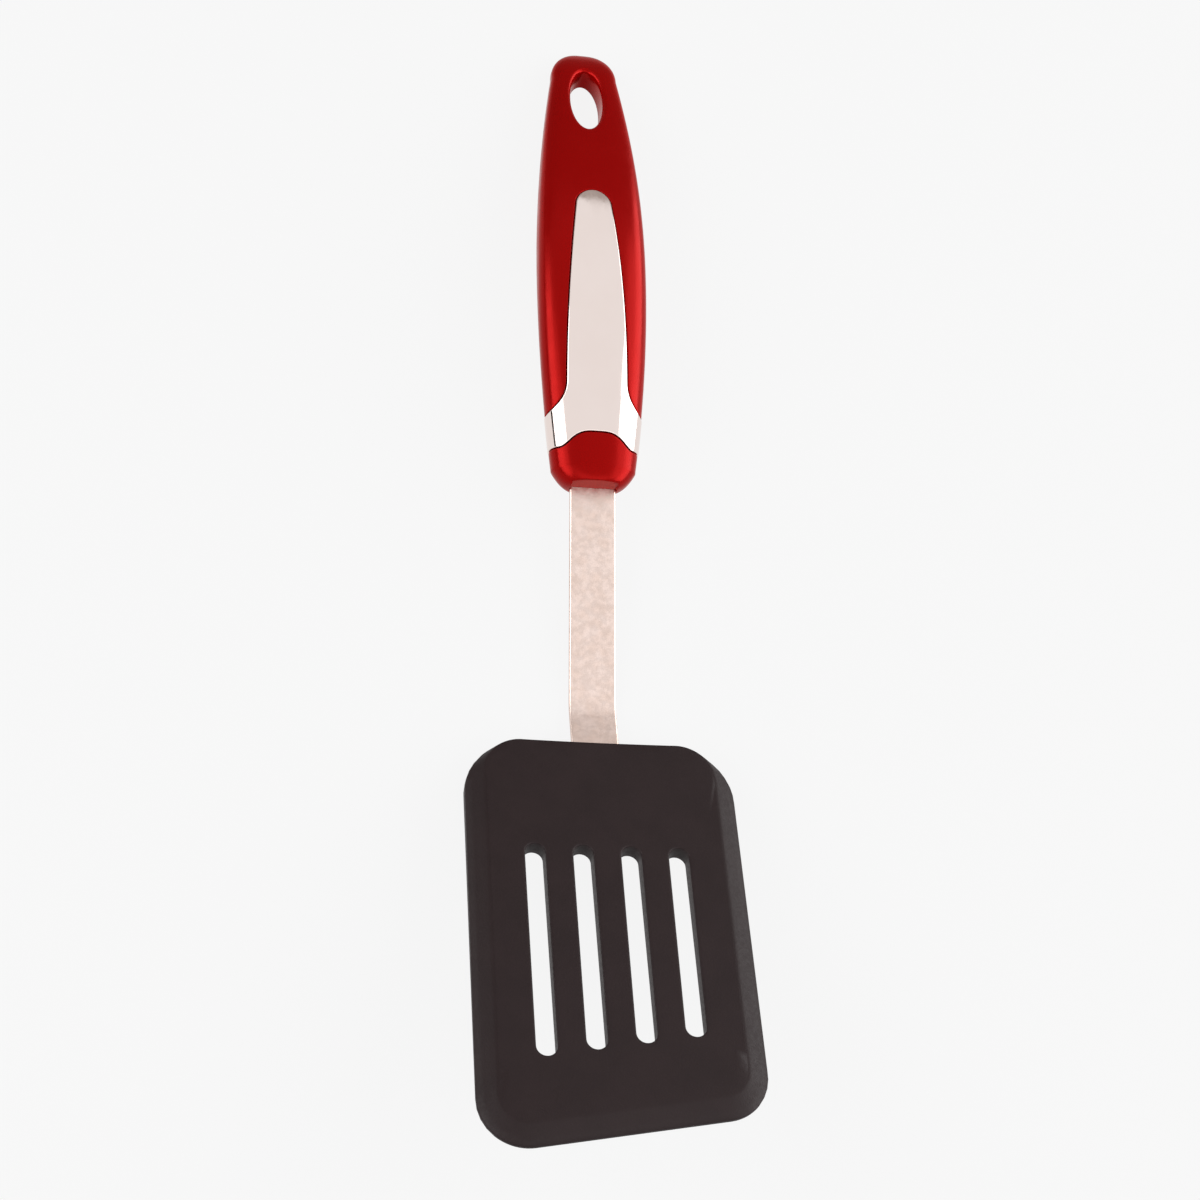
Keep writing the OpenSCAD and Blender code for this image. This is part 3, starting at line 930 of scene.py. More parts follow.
@dataclass(frozen=True)
class NoseCap:
    """The red dome at the front of the handle, with the strap's mouth and the flat landing above it."""

    form: HandleForm
    lines: JointLines
    strap: StrapLine
    wall: float = 2.0
    edge_r: float = 0.3
    tip_y: float = 0.12
    fit: float = 0.1
    landing_inset: float = 0.7
    landing_slope: float = math.radians(4)
    landing_soft: float = 0.35
    landing_edge_w: float = 0.1
    landing_low_z: float = -0.45
    landing_high_z: float = -0.05
    back_wall: float = 0.5
    slot_power: float = 12.0
    dome_crowding: float = 2.0
    columns: int = 480
    dome_rows: int = 34
    rear_rows: int = 16

    def _angles(self) -> np.ndarray:
        """Angles that space the columns evenly round the dome."""
        dense = np.linspace(0, FULL_TURN, 4001)
        ring = self.form.skin(dense, np.full_like(dense, self.form.dome_l))
        line = np.concatenate([ring, dense[:, None]], axis=1)
        steps = np.linalg.norm(np.diff(ring, axis=0), axis=1)
        run = np.concatenate([[0.0], np.cumsum(steps)])
        return np.interp(np.linspace(0, run[-1], self.columns + 1)[:-1], run, line[:, 3])

    def _landed(self, grid: np.ndarray) -> np.ndarray:
        """Presses the landing in: y becomes the softened larger of itself and the landing's plane.

        Args:
            grid: points of the dome and its face.

        Returns:
            The points, with those on the landing pressed in.
        """
        x, y, z = grid[..., 0], grid[..., 1], grid[..., 2]
        half = self.strap.width / 2 + self.fit
        sideways = smooth((half + self.landing_edge_w - np.abs(x)) / (2 * self.landing_edge_w))
        upwards = smooth((z - self.landing_low_z) / (self.landing_high_z - self.landing_low_z))
        inside = sideways * upwards
        short = self.landing_inset + np.maximum(z, 0) * math.tan(self.landing_slope) - y
        push = (short + np.sqrt(short**2 + self.landing_soft**2)) / 2
        return points(x, y + inside * push, z)

    def _slot(self, angle: np.ndarray, y: float) -> np.ndarray:
        """The strap's slot at y: a superellipse of high power, which is a rectangle with tiny corners.

        Args:
            angle: angles round the slot's middle.
            y: place along the handle.

        Returns:
            The points.
        """
        half_w = self.strap.width / 2 + self.fit
        half_h = self.strap.thickness / 2 + self.fit
        x, z = np.cos(angle), np.sin(angle)
        power = self.slot_power
        reach = (np.abs(x / half_w) ** power + np.abs(z / half_h) ** power) ** (-1 / power)
        return points(x * reach, y, z * reach - self.strap.thickness / 2)

    def skin(self) -> Skin:
        """The cap as one closed tube: mouth, landing, dome, rear edge and the inner wall back again."""
        angle = self._angles()
        dome_share = np.linspace(0, 1, self.dome_rows) ** self.dome_crowding
        dome_y = blend(self.tip_y, self.form.dome_l, dome_share)
        dome = self.form.skin(angle, np.repeat(dome_y[:, None], self.columns, 1))
        rear_loop = self.lines.cap_loop(angle, -self.edge_r, 0.0)
        share = np.linspace(0, 1, self.rear_rows)[1:, None]
        rear = self.form.skin(angle, blend(self.form.dome_l, rear_loop[None, :], share))
        turn = quarter_turn(4)[1:]
        edge = np.stack([
            self.form.skin(
                angle,
                self.lines.cap_loop(angle, -self.edge_r * (1 - math.sin(a)), 0.0),
                -self.edge_r * (1 - math.cos(a)),
            )
            for a in turn
        ])
        back = self.lines.cap_loop(angle, 0.0, -self.wall)
        inner_front = self.wall + self.back_wall
        inner_y = blend(back[None, :], inner_front, np.linspace(0, 1, 6)[:, None])
        inner = self.form.skin(angle, inner_y, -self.wall)
        section_angle = np.arctan2(dome[0, :, 2] + self.strap.thickness / 2, dome[0, :, 0])
        slot_back = self._slot(section_angle, inner_front)
        slot_front = self._slot(section_angle, self.tip_y)
        face = blend(slot_front[None], dome[0][None], np.linspace(0, 1, 12)[:-1, None, None])
        outer = self._landed(np.concatenate([face, dome]))
        made = Skin()
        made.add(np.concatenate([slot_back[None], outer, rear, edge, inner]), tube=True)
        return made


@dataclass(frozen=True)
class Collar:
    """The chrome band, with a long tongue on the top of the handle and one below."""

    form: HandleForm
    lines: JointLines
    proud: float = 0.25
    wall: float = 2.0
    edge_r: float = 0.25
    rows: int = 60
    inner_rows: int = 24

    def _rear(self, offset: float, grow: float) -> np.ndarray:
        """One line of points along the rear edge."""
        angle, y = self.lines.tongue_loop(offset, grow)
        return self.form.skin(angle, y, grow)

    def _front(self, angle: np.ndarray, offset: float, grow: float) -> np.ndarray:
        """One line of points along the front edge, at the given angles."""
        return self.form.skin(angle, self.lines.cap_loop(angle, self.lines.gap + offset, grow), grow)

    def skin(self) -> Skin:
        """The collar as one closed tube: outer skin, rear edge, inner skin and front edge."""
        angle, rear_y = self.lines.tongue_loop(-self.edge_r, self.proud)
        front_y = self.lines.cap_loop(angle, self.lines.gap + self.edge_r, self.proud)
        share = np.concatenate([[0.0, 0.004], np.linspace(0.02, 0.985, self.rows), [0.997, 1.0]])[:, None]
        outer = self.form.skin(angle, blend(front_y, rear_y, share), self.proud)
        turn = quarter_turn(4)
        drawn_in = self.edge_r * (1 - np.sin(turn))
        lowered = self.proud - self.edge_r * (1 - np.cos(turn))
        rear_edge = [self._rear(-o, g) for o, g in zip(drawn_in[1:], lowered[1:])]
        inner_angle, inner_rear = self.lines.tongue_loop(0.0, -self.wall)
        inner_front = self.lines.cap_loop(inner_angle, self.lines.gap, -self.wall)
        inner_y = blend(inner_rear, inner_front, np.linspace(0, 1, self.inner_rows)[:, None])
        inner = self.form.skin(inner_angle, inner_y, -self.wall)
        front_edge = [self._front(angle, o, g) for o, g in zip(drawn_in[:0:-1], lowered[:0:-1])]
        made = Skin()
        made.add(np.concatenate([outer, np.stack(rear_edge), inner, np.stack(front_edge)]), tube=True)
        return made


@dataclass(frozen=True)
class Grip:
    """The red body of the handle, with pockets for the tongues, a blind bore and the hanging hole."""

    form: HandleForm
    lines: JointLines
    pocket: float = 2.1
    seat_y: float = 31.1
    bar_half_w: float = 9.6
    bar_half_t: float = 3.9
    bar_middle_z: float = -0.9
    bore_power: float = 10.0
    bar_end_y: float = 63.1
    edge_r: float = 0.35
    split_y: float = 106.0
    front_rows: int = 46
    hole_from_tail: float = 21.4
    hole_w: float = 10.4
    hole_l: float = 24.4
    rim_r: float = 1.5
    lower_rim_r: float = 0.4
    tail_rows: int = 30
    side_points: int = 30
    end_points: int = 28

    @property
    def hole_y(self) -> float:
        """Place of the middle of the hanging hole."""
        return self.form.length - self.hole_from_tail

    def _lip(self, offset: float, grow: float) -> np.ndarray:
        """One line of points along the grip's front edge, behind the joint gap."""
        angle, y = self.lines.tongue_loop(self.lines.gap + offset, grow)
        return self.form.skin(angle, y, grow)

    def _bore(self, angle: np.ndarray, y: float, size: float) -> np.ndarray:
        """The bore's section at y, scaled by size: a superellipse of high power.

        Args:
            angle: angles round the bore's middle.
            y: place along the handle.
            size: how large the section is, 0 for a single point.

        Returns:
            The points.
        """
        x, z = np.cos(angle), np.sin(angle)
        power = self.bore_power
        total = np.abs(x / self.bar_half_w) ** power + np.abs(z / self.bar_half_t) ** power
        reach = total ** (-1 / power)
        return points(x * reach * size, y, z * reach * size + self.bar_middle_z)

    def _front(self) -> tuple[np.ndarray, np.ndarray]:
        """The grid from the bore's blind end to the ring at split_y, and that ring's angles.

        Returns:
            The grid and the angles.
        """
        angle, lip_y = self.lines.tongue_loop(self.lines.gap + self.edge_r, 0.0)
        floor_angle, floor_y = self.lines.tongue_loop(self.lines.gap, -self.pocket)
        floor = self.form.skin(
            floor_angle, blend(self.seat_y, floor_y, np.linspace(0, 1, 16)[:, None]), -self.pocket
        )
        bore = [
            self._bore(floor_angle, self.bar_end_y, 0.0),
            self._bore(floor_angle, self.bar_end_y, 1.0),
            self._bore(floor_angle, self.seat_y, 1.0),
        ]
        edge = [
            self._lip(self.edge_r * (1 - math.sin(a)), -self.edge_r * (1 - math.cos(a)))
            for a in quarter_turn(5)[:0:-1]
        ]
        share = np.concatenate([[0.0, 0.004], np.linspace(0.02, 1, self.front_rows)])[:, None]
        skin = self.form.skin(angle, blend(lip_y, self.split_y, share))
        return np.concatenate([np.stack(bore), floor, np.stack(edge), skin]), angle

    def _outline(self, angle: np.ndarray) -> np.ndarray:
        """Plan outline of the tail sheet: the ring's front line, then round the tail from left to right.

        Args:
            angle: the front ring's angles.

        Returns:
            The points, in plan.
        """
        half = angle[: len(angle) // 2 + 1]
        front = self.form.skin(half, np.full_like(half, self.split_y))[:, :2]
        side_y = np.linspace(self.split_y, self.form.tail_y, self.side_points)[1:]
        power = 2 / self.form.tail_round_power
        end_share = np.sin(quarter_turn(self.end_points)[1:]) ** power
        end_y = self.form.tail_y + self.form.tail_round_l * end_share
        y = np.concatenate([side_y, end_y])
        x = self.form.half_width(y)
        x[-1] = 0.0
        left = np.stack([-x, y], axis=1)
        right = np.stack([x[-2::-1], y[-2::-1]], axis=1)
        return np.concatenate([front, left, right])

    def _rim(self, place: np.ndarray, side: int, turn: float) -> np.ndarray:
        """One line round the hole's soft rim: turn 0 is the hole's wall and a quarter turn the skin.

        Args:
            place: angles round the hole's middle, in plan.
            side: 1 for the top rim and -1 for the lower one.
            turn: how far over the rim the line lies.

        Returns:
            The points.
        """
        rim_r = self.rim_r if side > 0 else self.lower_rim_r
        flare, depth = rim_r * (1 - math.cos(turn)), rim_r * (1 - math.sin(turn))
        tilt = self.form.slope(self.hole_y)
        half_t = float(self.form.half_thickness(np.array(self.hole_y)))
        x = (self.hole_w / 2 + flare) * np.cos(place)
        v = (self.hole_l / 2 + flare) * np.sin(place)
        y = self.hole_y + v * math.cos(tilt) - side * half_t * math.sin(tilt)
        z = self.form.height(x, y, side)
        return points(x, y + side * depth * math.sin(tilt), z - side * depth * math.cos(tilt))

    def _tail(self, angle: np.ndarray) -> np.ndarray:
        """The grid from the outline over the top, through the hole and back under to the outline.

        Args:
            angle: the front ring's angles.

        Returns:
            The grid.
        """
        outline = self._outline(angle)
        lengthways = (outline[:, 1] - self.hole_y) / (self.hole_l / 2)
        place = np.arctan2(lengthways, outline[:, 0] / (self.hole_w / 2))
        share = np.sin(quarter_turn(self.tail_rows))[:0:-1, None]
        turns = quarter_turn(7)

        def sheet(side: int) -> np.ndarray:
            """Skin from the outline to the rim's outer line, on one side.

            Args:
                side: 1 for the top and -1 for the underside.

            Returns:
                The grid.
            """
            rim = self._rim(place, side, math.pi / 2)
            x = blend(rim[:, 0], outline[:, 0], share)
            y = blend(rim[:, 1], outline[:, 1], share)
            made = points(x, y, self.form.height(x, y, side))
            made[0, :, 2] = np.where(
                np.isclose(outline[:, 1], self.split_y), made[0, :, 2], self.form.middle(outline[:, 1])
            )
            return made

        top = [self._rim(place, 1, a) for a in turns[::-1]]
        bottom = [self._rim(place, -1, a) for a in turns]
        wall = blend(top[-1][None], bottom[0][None], np.linspace(0, 1, 9)[1:-1, None, None])
        return np.concatenate([sheet(1), np.stack(top), wall, np.stack(bottom), sheet(-1)[::-1]])

    def skin(self) -> Skin:
        """The grip: bore, pocket floor, front edge and skin, then the tail with its hole."""
        front, angle = self._front()
        made = Skin()
        made.add(front)
        made.add(self._tail(angle))
        return made


@dataclass(frozen=True)
class Shank:
    """The flat steel strap, with its edges rounded, from tang to tang."""

    strap: StrapLine
    corner_points: int = 7

    def _section(self) -> np.ndarray:
        """Half-width and height of the strap's section: a rectangle with round corners."""
        s = self.strap
        turn = quarter_turn(self.corner_points)
        x = s.width / 2 - s.edge_r + s.edge_r * np.cos(turn)
        h = s.thickness / 2 - s.edge_r + s.edge_r * np.sin(turn)
        flat = np.array([0.96, 0.8, 0.5, 0.0, -0.5, -0.8, -0.96]) * (s.width / 2 - s.edge_r)
        top_x = np.concatenate([x, flat, -x[::-1]])
        top_h = np.concatenate([h, np.full(len(flat), s.thickness / 2), h[::-1]])
        around_x = np.concatenate([top_x, top_x[::-1]])
        return np.stack([around_x, np.concatenate([top_h, -top_h[::-1]])], axis=1)

    def _path(self) -> tuple[np.ndarray, np.ndarray]:
        """Points (y, z) of the centre line, and how far the strap has turned at each.

        Returns:
            The points, and the angles.
        """
        s = self.strap
        bend = np.linspace(0, s.rise, 25)
        bend_y = s.bend_centre[0] - s.bend_r * np.sin(bend)
        bend_z = s.bend_centre[1] - s.bend_r * np.cos(bend)
        straight_y = np.linspace(s.rear_tang_l, bend_y[0], 40)[:-1]
        run = np.linspace(0, s.neck_l - s.half_bend + s.front_tang_l, 16)[1:]
        y = np.concatenate([straight_y, bend_y, bend_y[-1] - run * math.cos(s.rise)])
        straight_z = np.full_like(straight_y, -s.thickness / 2)
        z = np.concatenate([straight_z, bend_z, bend_z[-1] + run * math.sin(s.rise)])
        turned = np.concatenate([np.zeros_like(straight_y), bend, np.full_like(run, s.rise)])
        return np.stack([y, z], axis=1), turned

    def skin(self) -> Skin:
        """The section carried along the path, with each end closed to a point."""
        section, (path, turned) = self._section(), self._path()
        path = np.concatenate([path[:1], path, path[-1:]])
        turned = np.concatenate([turned[:1], turned, turned[-1:]])
        size = np.concatenate([[0.0], np.ones(len(path) - 2), [0.0]])
        x = section[None, :, 0] * size[:, None]
        h = section[None, :, 1] * size[:, None]
        y = path[:, :1] + h * np.sin(turned)[:, None]
        z = path[:, 1:] + h * np.cos(turned)[:, None]
        made = Skin()
        made.add(points(x, y, z))
        return made


@dataclass(frozen=True)
class Blade:
    """The moulded blade: a wedge with a bevel on three sides, round corners and four slots."""

    strap: StrapLine
    rear_w: float = 78.4
    front_w: float = 79.6
    length: float = 120.0
    slant: float = math.radians(8.8)
    rear_t: float = 6.4
    front_t: float = 4.0
    rear_r: float = 16.5
    front_r: float = 13.5
    bevel_w: float = 5.5
    bevel_drop: float = 2.4
    slot_count: int = 4
    slot_w: float = 5.8
    slot_pitch: float = 13.7
    slot_start: float = 34.5
    slot_end_margin: float = 24.0
    cell_margin: float = 6.0
    rim_r: float = 0.45
    edge_r: float = 0.7
    cell_points: int = 16
    side_points: int = 40
    full_bevel: float = 0.6
    crease: float = 0.12
    crease_soft: float = 0.09
    bevel_shares: tuple[float, ...] = (-0.12, -0.06, -0.02, 0.02, 0.06, 0.12, 0.3, 0.6, 0.9)
    edge_draw: float = 0.4
    edge_fall: float = 0.9
    under_inset: float = 0.8
    under_share: float = 0.3

    def _thickness(self, y: np.ndarray) -> np.ndarray:
        """Thickness at y: a straight wedge from the rear edge to the front."""
        return self.rear_t + (self.rear_t - self.front_t) * y / self.length

    def _outline(self, inset: float) -> np.ndarray:
        """The blade's outline in plan, drawn in by inset except along its rear edge.

        Four round corners joined by straight lines, widened towards the front; each side runs from the
        middle of one corner to the middle of the next: rear, left, front, right.

        Args:
            inset: how far the outline is drawn in.

        Returns:
            The points, in plan.
        """
        side = self.front_w / 2
        rear_x, front_x = side - self.rear_r, side - self.front_r
        front_y = -self.length + self.front_r / math.cos(self.slant)
        skew = front_x * math.tan(self.slant)
        corners = [
            (rear_x, -(self.rear_r - inset), self.rear_r - inset, 0.0, math.pi / 2),
            (-rear_x, -(self.rear_r - inset), self.rear_r - inset, math.pi / 2, math.pi),
            (-front_x, front_y - skew, self.front_r - inset, math.pi, 1.5 * math.pi + self.slant),
            (front_x, front_y + skew, self.front_r - inset, 1.5 * math.pi + self.slant, FULL_TURN),
        ]
        arcs = []
        half = 40
        for x, y, r, start, end in corners:
            turn = np.linspace(start, end, 2 * half + 1)
            arcs.append(np.stack([x + r * np.cos(turn), y + r * np.sin(turn)], axis=1))
        counts = [self.slot_count * self.cell_points, self.side_points] * 2
        sides = [
            along(np.concatenate([arcs[k][half:], arcs[(k + 1) % 4][: half + 1]]), counts[k] + 1)[:-1]
            for k in range(4)
        ]
        loop = np.concatenate(sides)
        widening = (self.rear_w + (self.rear_w - self.front_w) * loop[:, 1] / self.length) / self.front_w
        return np.stack([loop[:, 0] * widening, loop[:, 1]], axis=1)

    @staticmethod
    def _outward(loop: np.ndarray) -> np.ndarray:
        """Unit vectors square to a closed line that runs anticlockwise, pointing outwards.

        Args:
            loop: points of the line, in plan.

        Returns:
            One vector for each point.
        """
        run = np.roll(loop, -1, axis=0) - np.roll(loop, 1, axis=0)
        run /= np.linalg.norm(run, axis=1, keepdims=True)
        return np.stack([run[:, 1], -run[:, 0]], axis=1)

    def _cell_edge(self, x: np.ndarray | float) -> np.ndarray | float:
        """Place of the slotted block's slanted front edge at x."""
        return -self.length + self.slot_end_margin - self.cell_margin + x * math.tan(self.slant)

    def _block(self) -> np.ndarray:
        """Outline of the slotted block of cells, with its points matched to the blade's outline."""
        half = self.slot_count * self.slot_pitch / 2
        return self._four_sided(-half, half, self.slot_count * self.cell_points)

    def _four_sided(self, left: float, right: float, across: int) -> np.ndarray:
        """Outline of the slotted block, or of a part of it, from its right rear corner to the left.

        Args:
            left: x of its left side.
            right: x of its right side.
            across: how many points its rear and its front edge have.

        Returns:
            The points, in plan.
        """
        rear = -self.slot_start + self.cell_margin
        corners = [
            (right, rear),
            (left, rear),
            (left, self._cell_edge(left)),
            (right, self._cell_edge(right)),
            (right, rear),
        ]
        sides = [
            blend(np.array(a)[None], np.array(b)[None], np.linspace(0, 1, n + 1)[:-1, None])
            for a, b, n in zip(corners, corners[1:], [across, self.side_points] * 2)
        ]
        return np.concatenate(sides)

    def _raised(self, plan: np.ndarray, height: np.ndarray | float) -> np.ndarray:
        """Plan points at a height from the top face."""
        return points(plan[..., 0], plan[..., 1], height)

    def lowered(self, plan: np.ndarray, height: float) -> np.ndarray:
        """Plan points at a height from the underside."""
        return points(plan[..., 0], plan[..., 1], height - self._thickness(plan[..., 1]))

    def _bevel_rows(self, top: np.ndarray, edge: np.ndarray, bevelled: np.ndarray) -> list[np.ndarray]:
        """Rows over the crease and down the bevel, or over a small round where there is no bevel.

        The bevel's fall is the softened larger of 0 and the share, (s + sqrt(s^2 + soft^2)) / 2.

        Args:
            top: plan outline of the top face.
            edge: plan outline of the blade.
            bevelled: 1 at each point that has the full bevel, 0 along the rear edge.

        Returns:
            The rows of points.
        """
        outward = self._outward(edge)
        rows = []
        for share in self.bevel_shares:
            fall = (share + math.sqrt(share**2 + self.crease_soft**2)) / 2
            turn = math.pi / 2 * min(max((share + self.crease) / (2 * self.crease), 0.0), 1.0)
            square_plan = top - outward * (self.rim_r * (1 - math.sin(turn)))
            past = max(share - self.crease, 0.0)
            square_z = -self.rim_r * (1 - math.cos(turn)) - past * self.bevel_drop
            plan = blend(square_plan, blend(top, edge, share), bevelled)
            rows.append(self._raised(plan, blend(square_z, -self.bevel_drop * fall, bevelled[:, 0])))
        return rows

    def _edge_rows(self, edge: np.ndarray, bevelled: np.ndarray) -> list[np.ndarray]:
        """Rows round the blade's edge, from the foot of the bevel to the underside.

        Args:
            edge: plan outline of the blade.
            bevelled: 1 at each point that has the full bevel, 0 along the rear edge.

        Returns:
            The rows of points.
        """
        outward = self._outward(edge)
        lean = math.atan2(self.bevel_drop, self.bevel_w)
        rows = []
        for turn in np.linspace(lean, math.pi / 2, 6):
            inset = self.edge_r * (1 - math.sin(turn))
            rounded = self.edge_r * (math.cos(lean) - math.cos(turn)) * self.edge_fall
            drop = self.bevel_drop - inset * math.tan(lean) * self.edge_draw + rounded
            rows.append(self._raised(edge - outward * inset * bevelled, -drop))
        for turn in quarter_turn(5):
            inset = self.rim_r * (1 - math.cos(turn))
            rows.append(self.lowered(edge - outward * inset, self.rim_r * (1 - math.sin(turn))))
        rows.append(self.lowered(edge - outward * self.under_inset, 0.0))
        return rows

    def _frame_grid(self) -> np.ndarray:
        """The grid from the block over the bevel and the edge, and under to the block again."""
        block, top, edge = self._block(), self._outline(self.bevel_w), self._outline(0.0)
        width = np.linalg.norm(edge - top, axis=1)
        bevelled = smooth(width / (self.full_bevel * self.bevel_w))[:, None]
        rows = [self._raised(blend(block, top, share), 0.0) for share in (0.0, 0.5, 0.9)]
        rows += self._bevel_rows(top, edge, bevelled)
        rows += self._edge_rows(edge, bevelled)
        rows += [self.lowered(blend(edge, block, share), 0.0) for share in (self.under_share, 1.0)]
        return np.stack(rows)

    def _slot_loop(self, x: float, grow: float) -> np.ndarray:
        """Outline of a slot at x, grown: two half circles joined by straight sides, matched to its cell.

        Args:
            x: middle of the slot.
            grow: how far the outline is grown.

        Returns:
            The points, in plan.
        """
        r = self.slot_w / 2
        rear = -self.slot_start - r
        front = -self.length + self.slot_end_margin + x * math.tan(self.slant) + r
        turn = np.linspace(0, math.pi, self.cell_points + 1)[:-1]
        run = np.linspace(0, 1, self.side_points + 1)[:-1]
        r += grow
        rear_arc = np.stack([x + r * np.cos(turn), rear + r * np.sin(turn)], axis=1)
        left = np.stack([np.full_like(run, x - r), blend(rear, front, run)], axis=1)
        front_arc = np.stack([x - r * np.cos(turn), front - r * np.sin(turn)], axis=1)
        right = np.stack([np.full_like(run, x + r), blend(front, rear, run)], axis=1)
        return np.concatenate([rear_arc, left, front_arc, right])

    def _cell_grid(self, x: float) -> np.ndarray:
        """The grid of one cell: its top sheet, the slot's rim, wall and lower rim, and its lower sheet.

        Args:
            x: middle of the cell.

        Returns:
            The grid.
        """
        half = self.slot_pitch / 2
        cell = self._four_sided(x - half, x + half, self.cell_points)
        margin = self._slot_loop(x, self.rim_r * 2)
        turns = quarter_turn(5)
        flares = self.rim_r * (1 - np.cos(turns))
        depths = self.rim_r * (1 - np.sin(turns))
        rows = [self._raised(cell, 0.0), self._raised(margin, 0.0)]
        rows += [self._raised(self._slot_loop(x, f), -d) for f, d in zip(flares[::-1], depths[::-1])]
        rows += [self.lowered(self._slot_loop(x, f), d) for f, d in zip(flares, depths)]
        rows += [self.lowered(margin, 0.0), self.lowered(cell, 0.0)]
        return np.stack(rows)

    def skin(self) -> Skin:
        """The blade: the frame round the block, and one cell for each slot."""
        made = Skin()
        made.add(self.strap.on_blade(self._frame_grid()))
        for k in range(self.slot_count):
            x = (k - (self.slot_count - 1) / 2) * self.slot_pitch
            made.add(self.strap.on_blade(self._cell_grid(x)))
        return made


@dataclass(frozen=True)
class Boss:
    """The pad under the blade that covers the tang."""

    blade: Blade
    width: float = 22.0
    length: float = 31.0
    drop: float = 1.3
    corner_r: float = 6.0
    rear_inset: float = 0.05
    edge_r: float = 0.8
    draft: float = 0.5
    sunk: float = 1.5
    face_inset: float = 2.0

    def _outline(self, inset: float) -> np.ndarray:
        """A rectangle from the rear edge forwards, with two round front corners, drawn in by inset.

        Args:
            inset: how far the outline is drawn in.

        Returns:
            The points, in plan.
        """
        side, r = self.width / 2 - inset, self.corner_r - inset
        front = -self.length + inset
        left = np.linspace(math.pi, 1.5 * math.pi, 17)
        right = np.linspace(1.5 * math.pi, FULL_TURN, 17)
        corners = np.concatenate([
            np.array([[side, -self.rear_inset], [-side, -self.rear_inset]]),
            np.stack([-side + r + r * np.cos(left), front + r + r * np.sin(left)], axis=1),
            np.stack([side - r + r * np.cos(right), front + r + r * np.sin(right)], axis=1),
            np.array([[side, -self.rear_inset]]),
        ])
        return along(corners, 121)[:-1]

    def skin(self) -> Skin:
        """Rows from inside the blade down the drafted side, over a soft edge and across the face."""
        turns = quarter_turn(5)
        insets = self.draft + self.edge_r * (1 - np.cos(turns))
        heights = -(self.drop - self.edge_r) - self.edge_r * np.sin(turns)
        steps = [(0.0, self.sunk), (0.0, 0.0), (0.4, -0.4), *zip(insets, heights)]
        steps.append((self.face_inset, -self.drop))
        rows = [self.blade.lowered(self._outline(inset), height) for inset, height in steps]
        middle = np.broadcast_to(np.array([0.0, -self.length / 2]), (len(rows[0]), 2))
        rows = [self.blade.lowered(middle, self.sunk), *rows, self.blade.lowered(middle, -self.drop)]
        made = Skin()
        made.add(self.blade.strap.on_blade(np.stack(rows)))
        return made


# ---------------------------------------------------------------------------------------------
# The studio
# ---------------------------------------------------------------------------------------------


@dataclass(frozen=True)
class SoftBox:
    """One soft box: its two edges along y, as (x, z), its two ends along y, and its glow."""

    name: str
    near_edge: tuple[float, float]
    far_edge: tuple[float, float]
    ends: tuple[float, float]
    radiance: float


@dataclass(frozen=True)
class DarkCard:
    """A card that only shiny surfaces see: its four corners, and how light a grey it is."""

    name: str
    corners: tuple[tuple[float, float, float], ...]
    glow: float


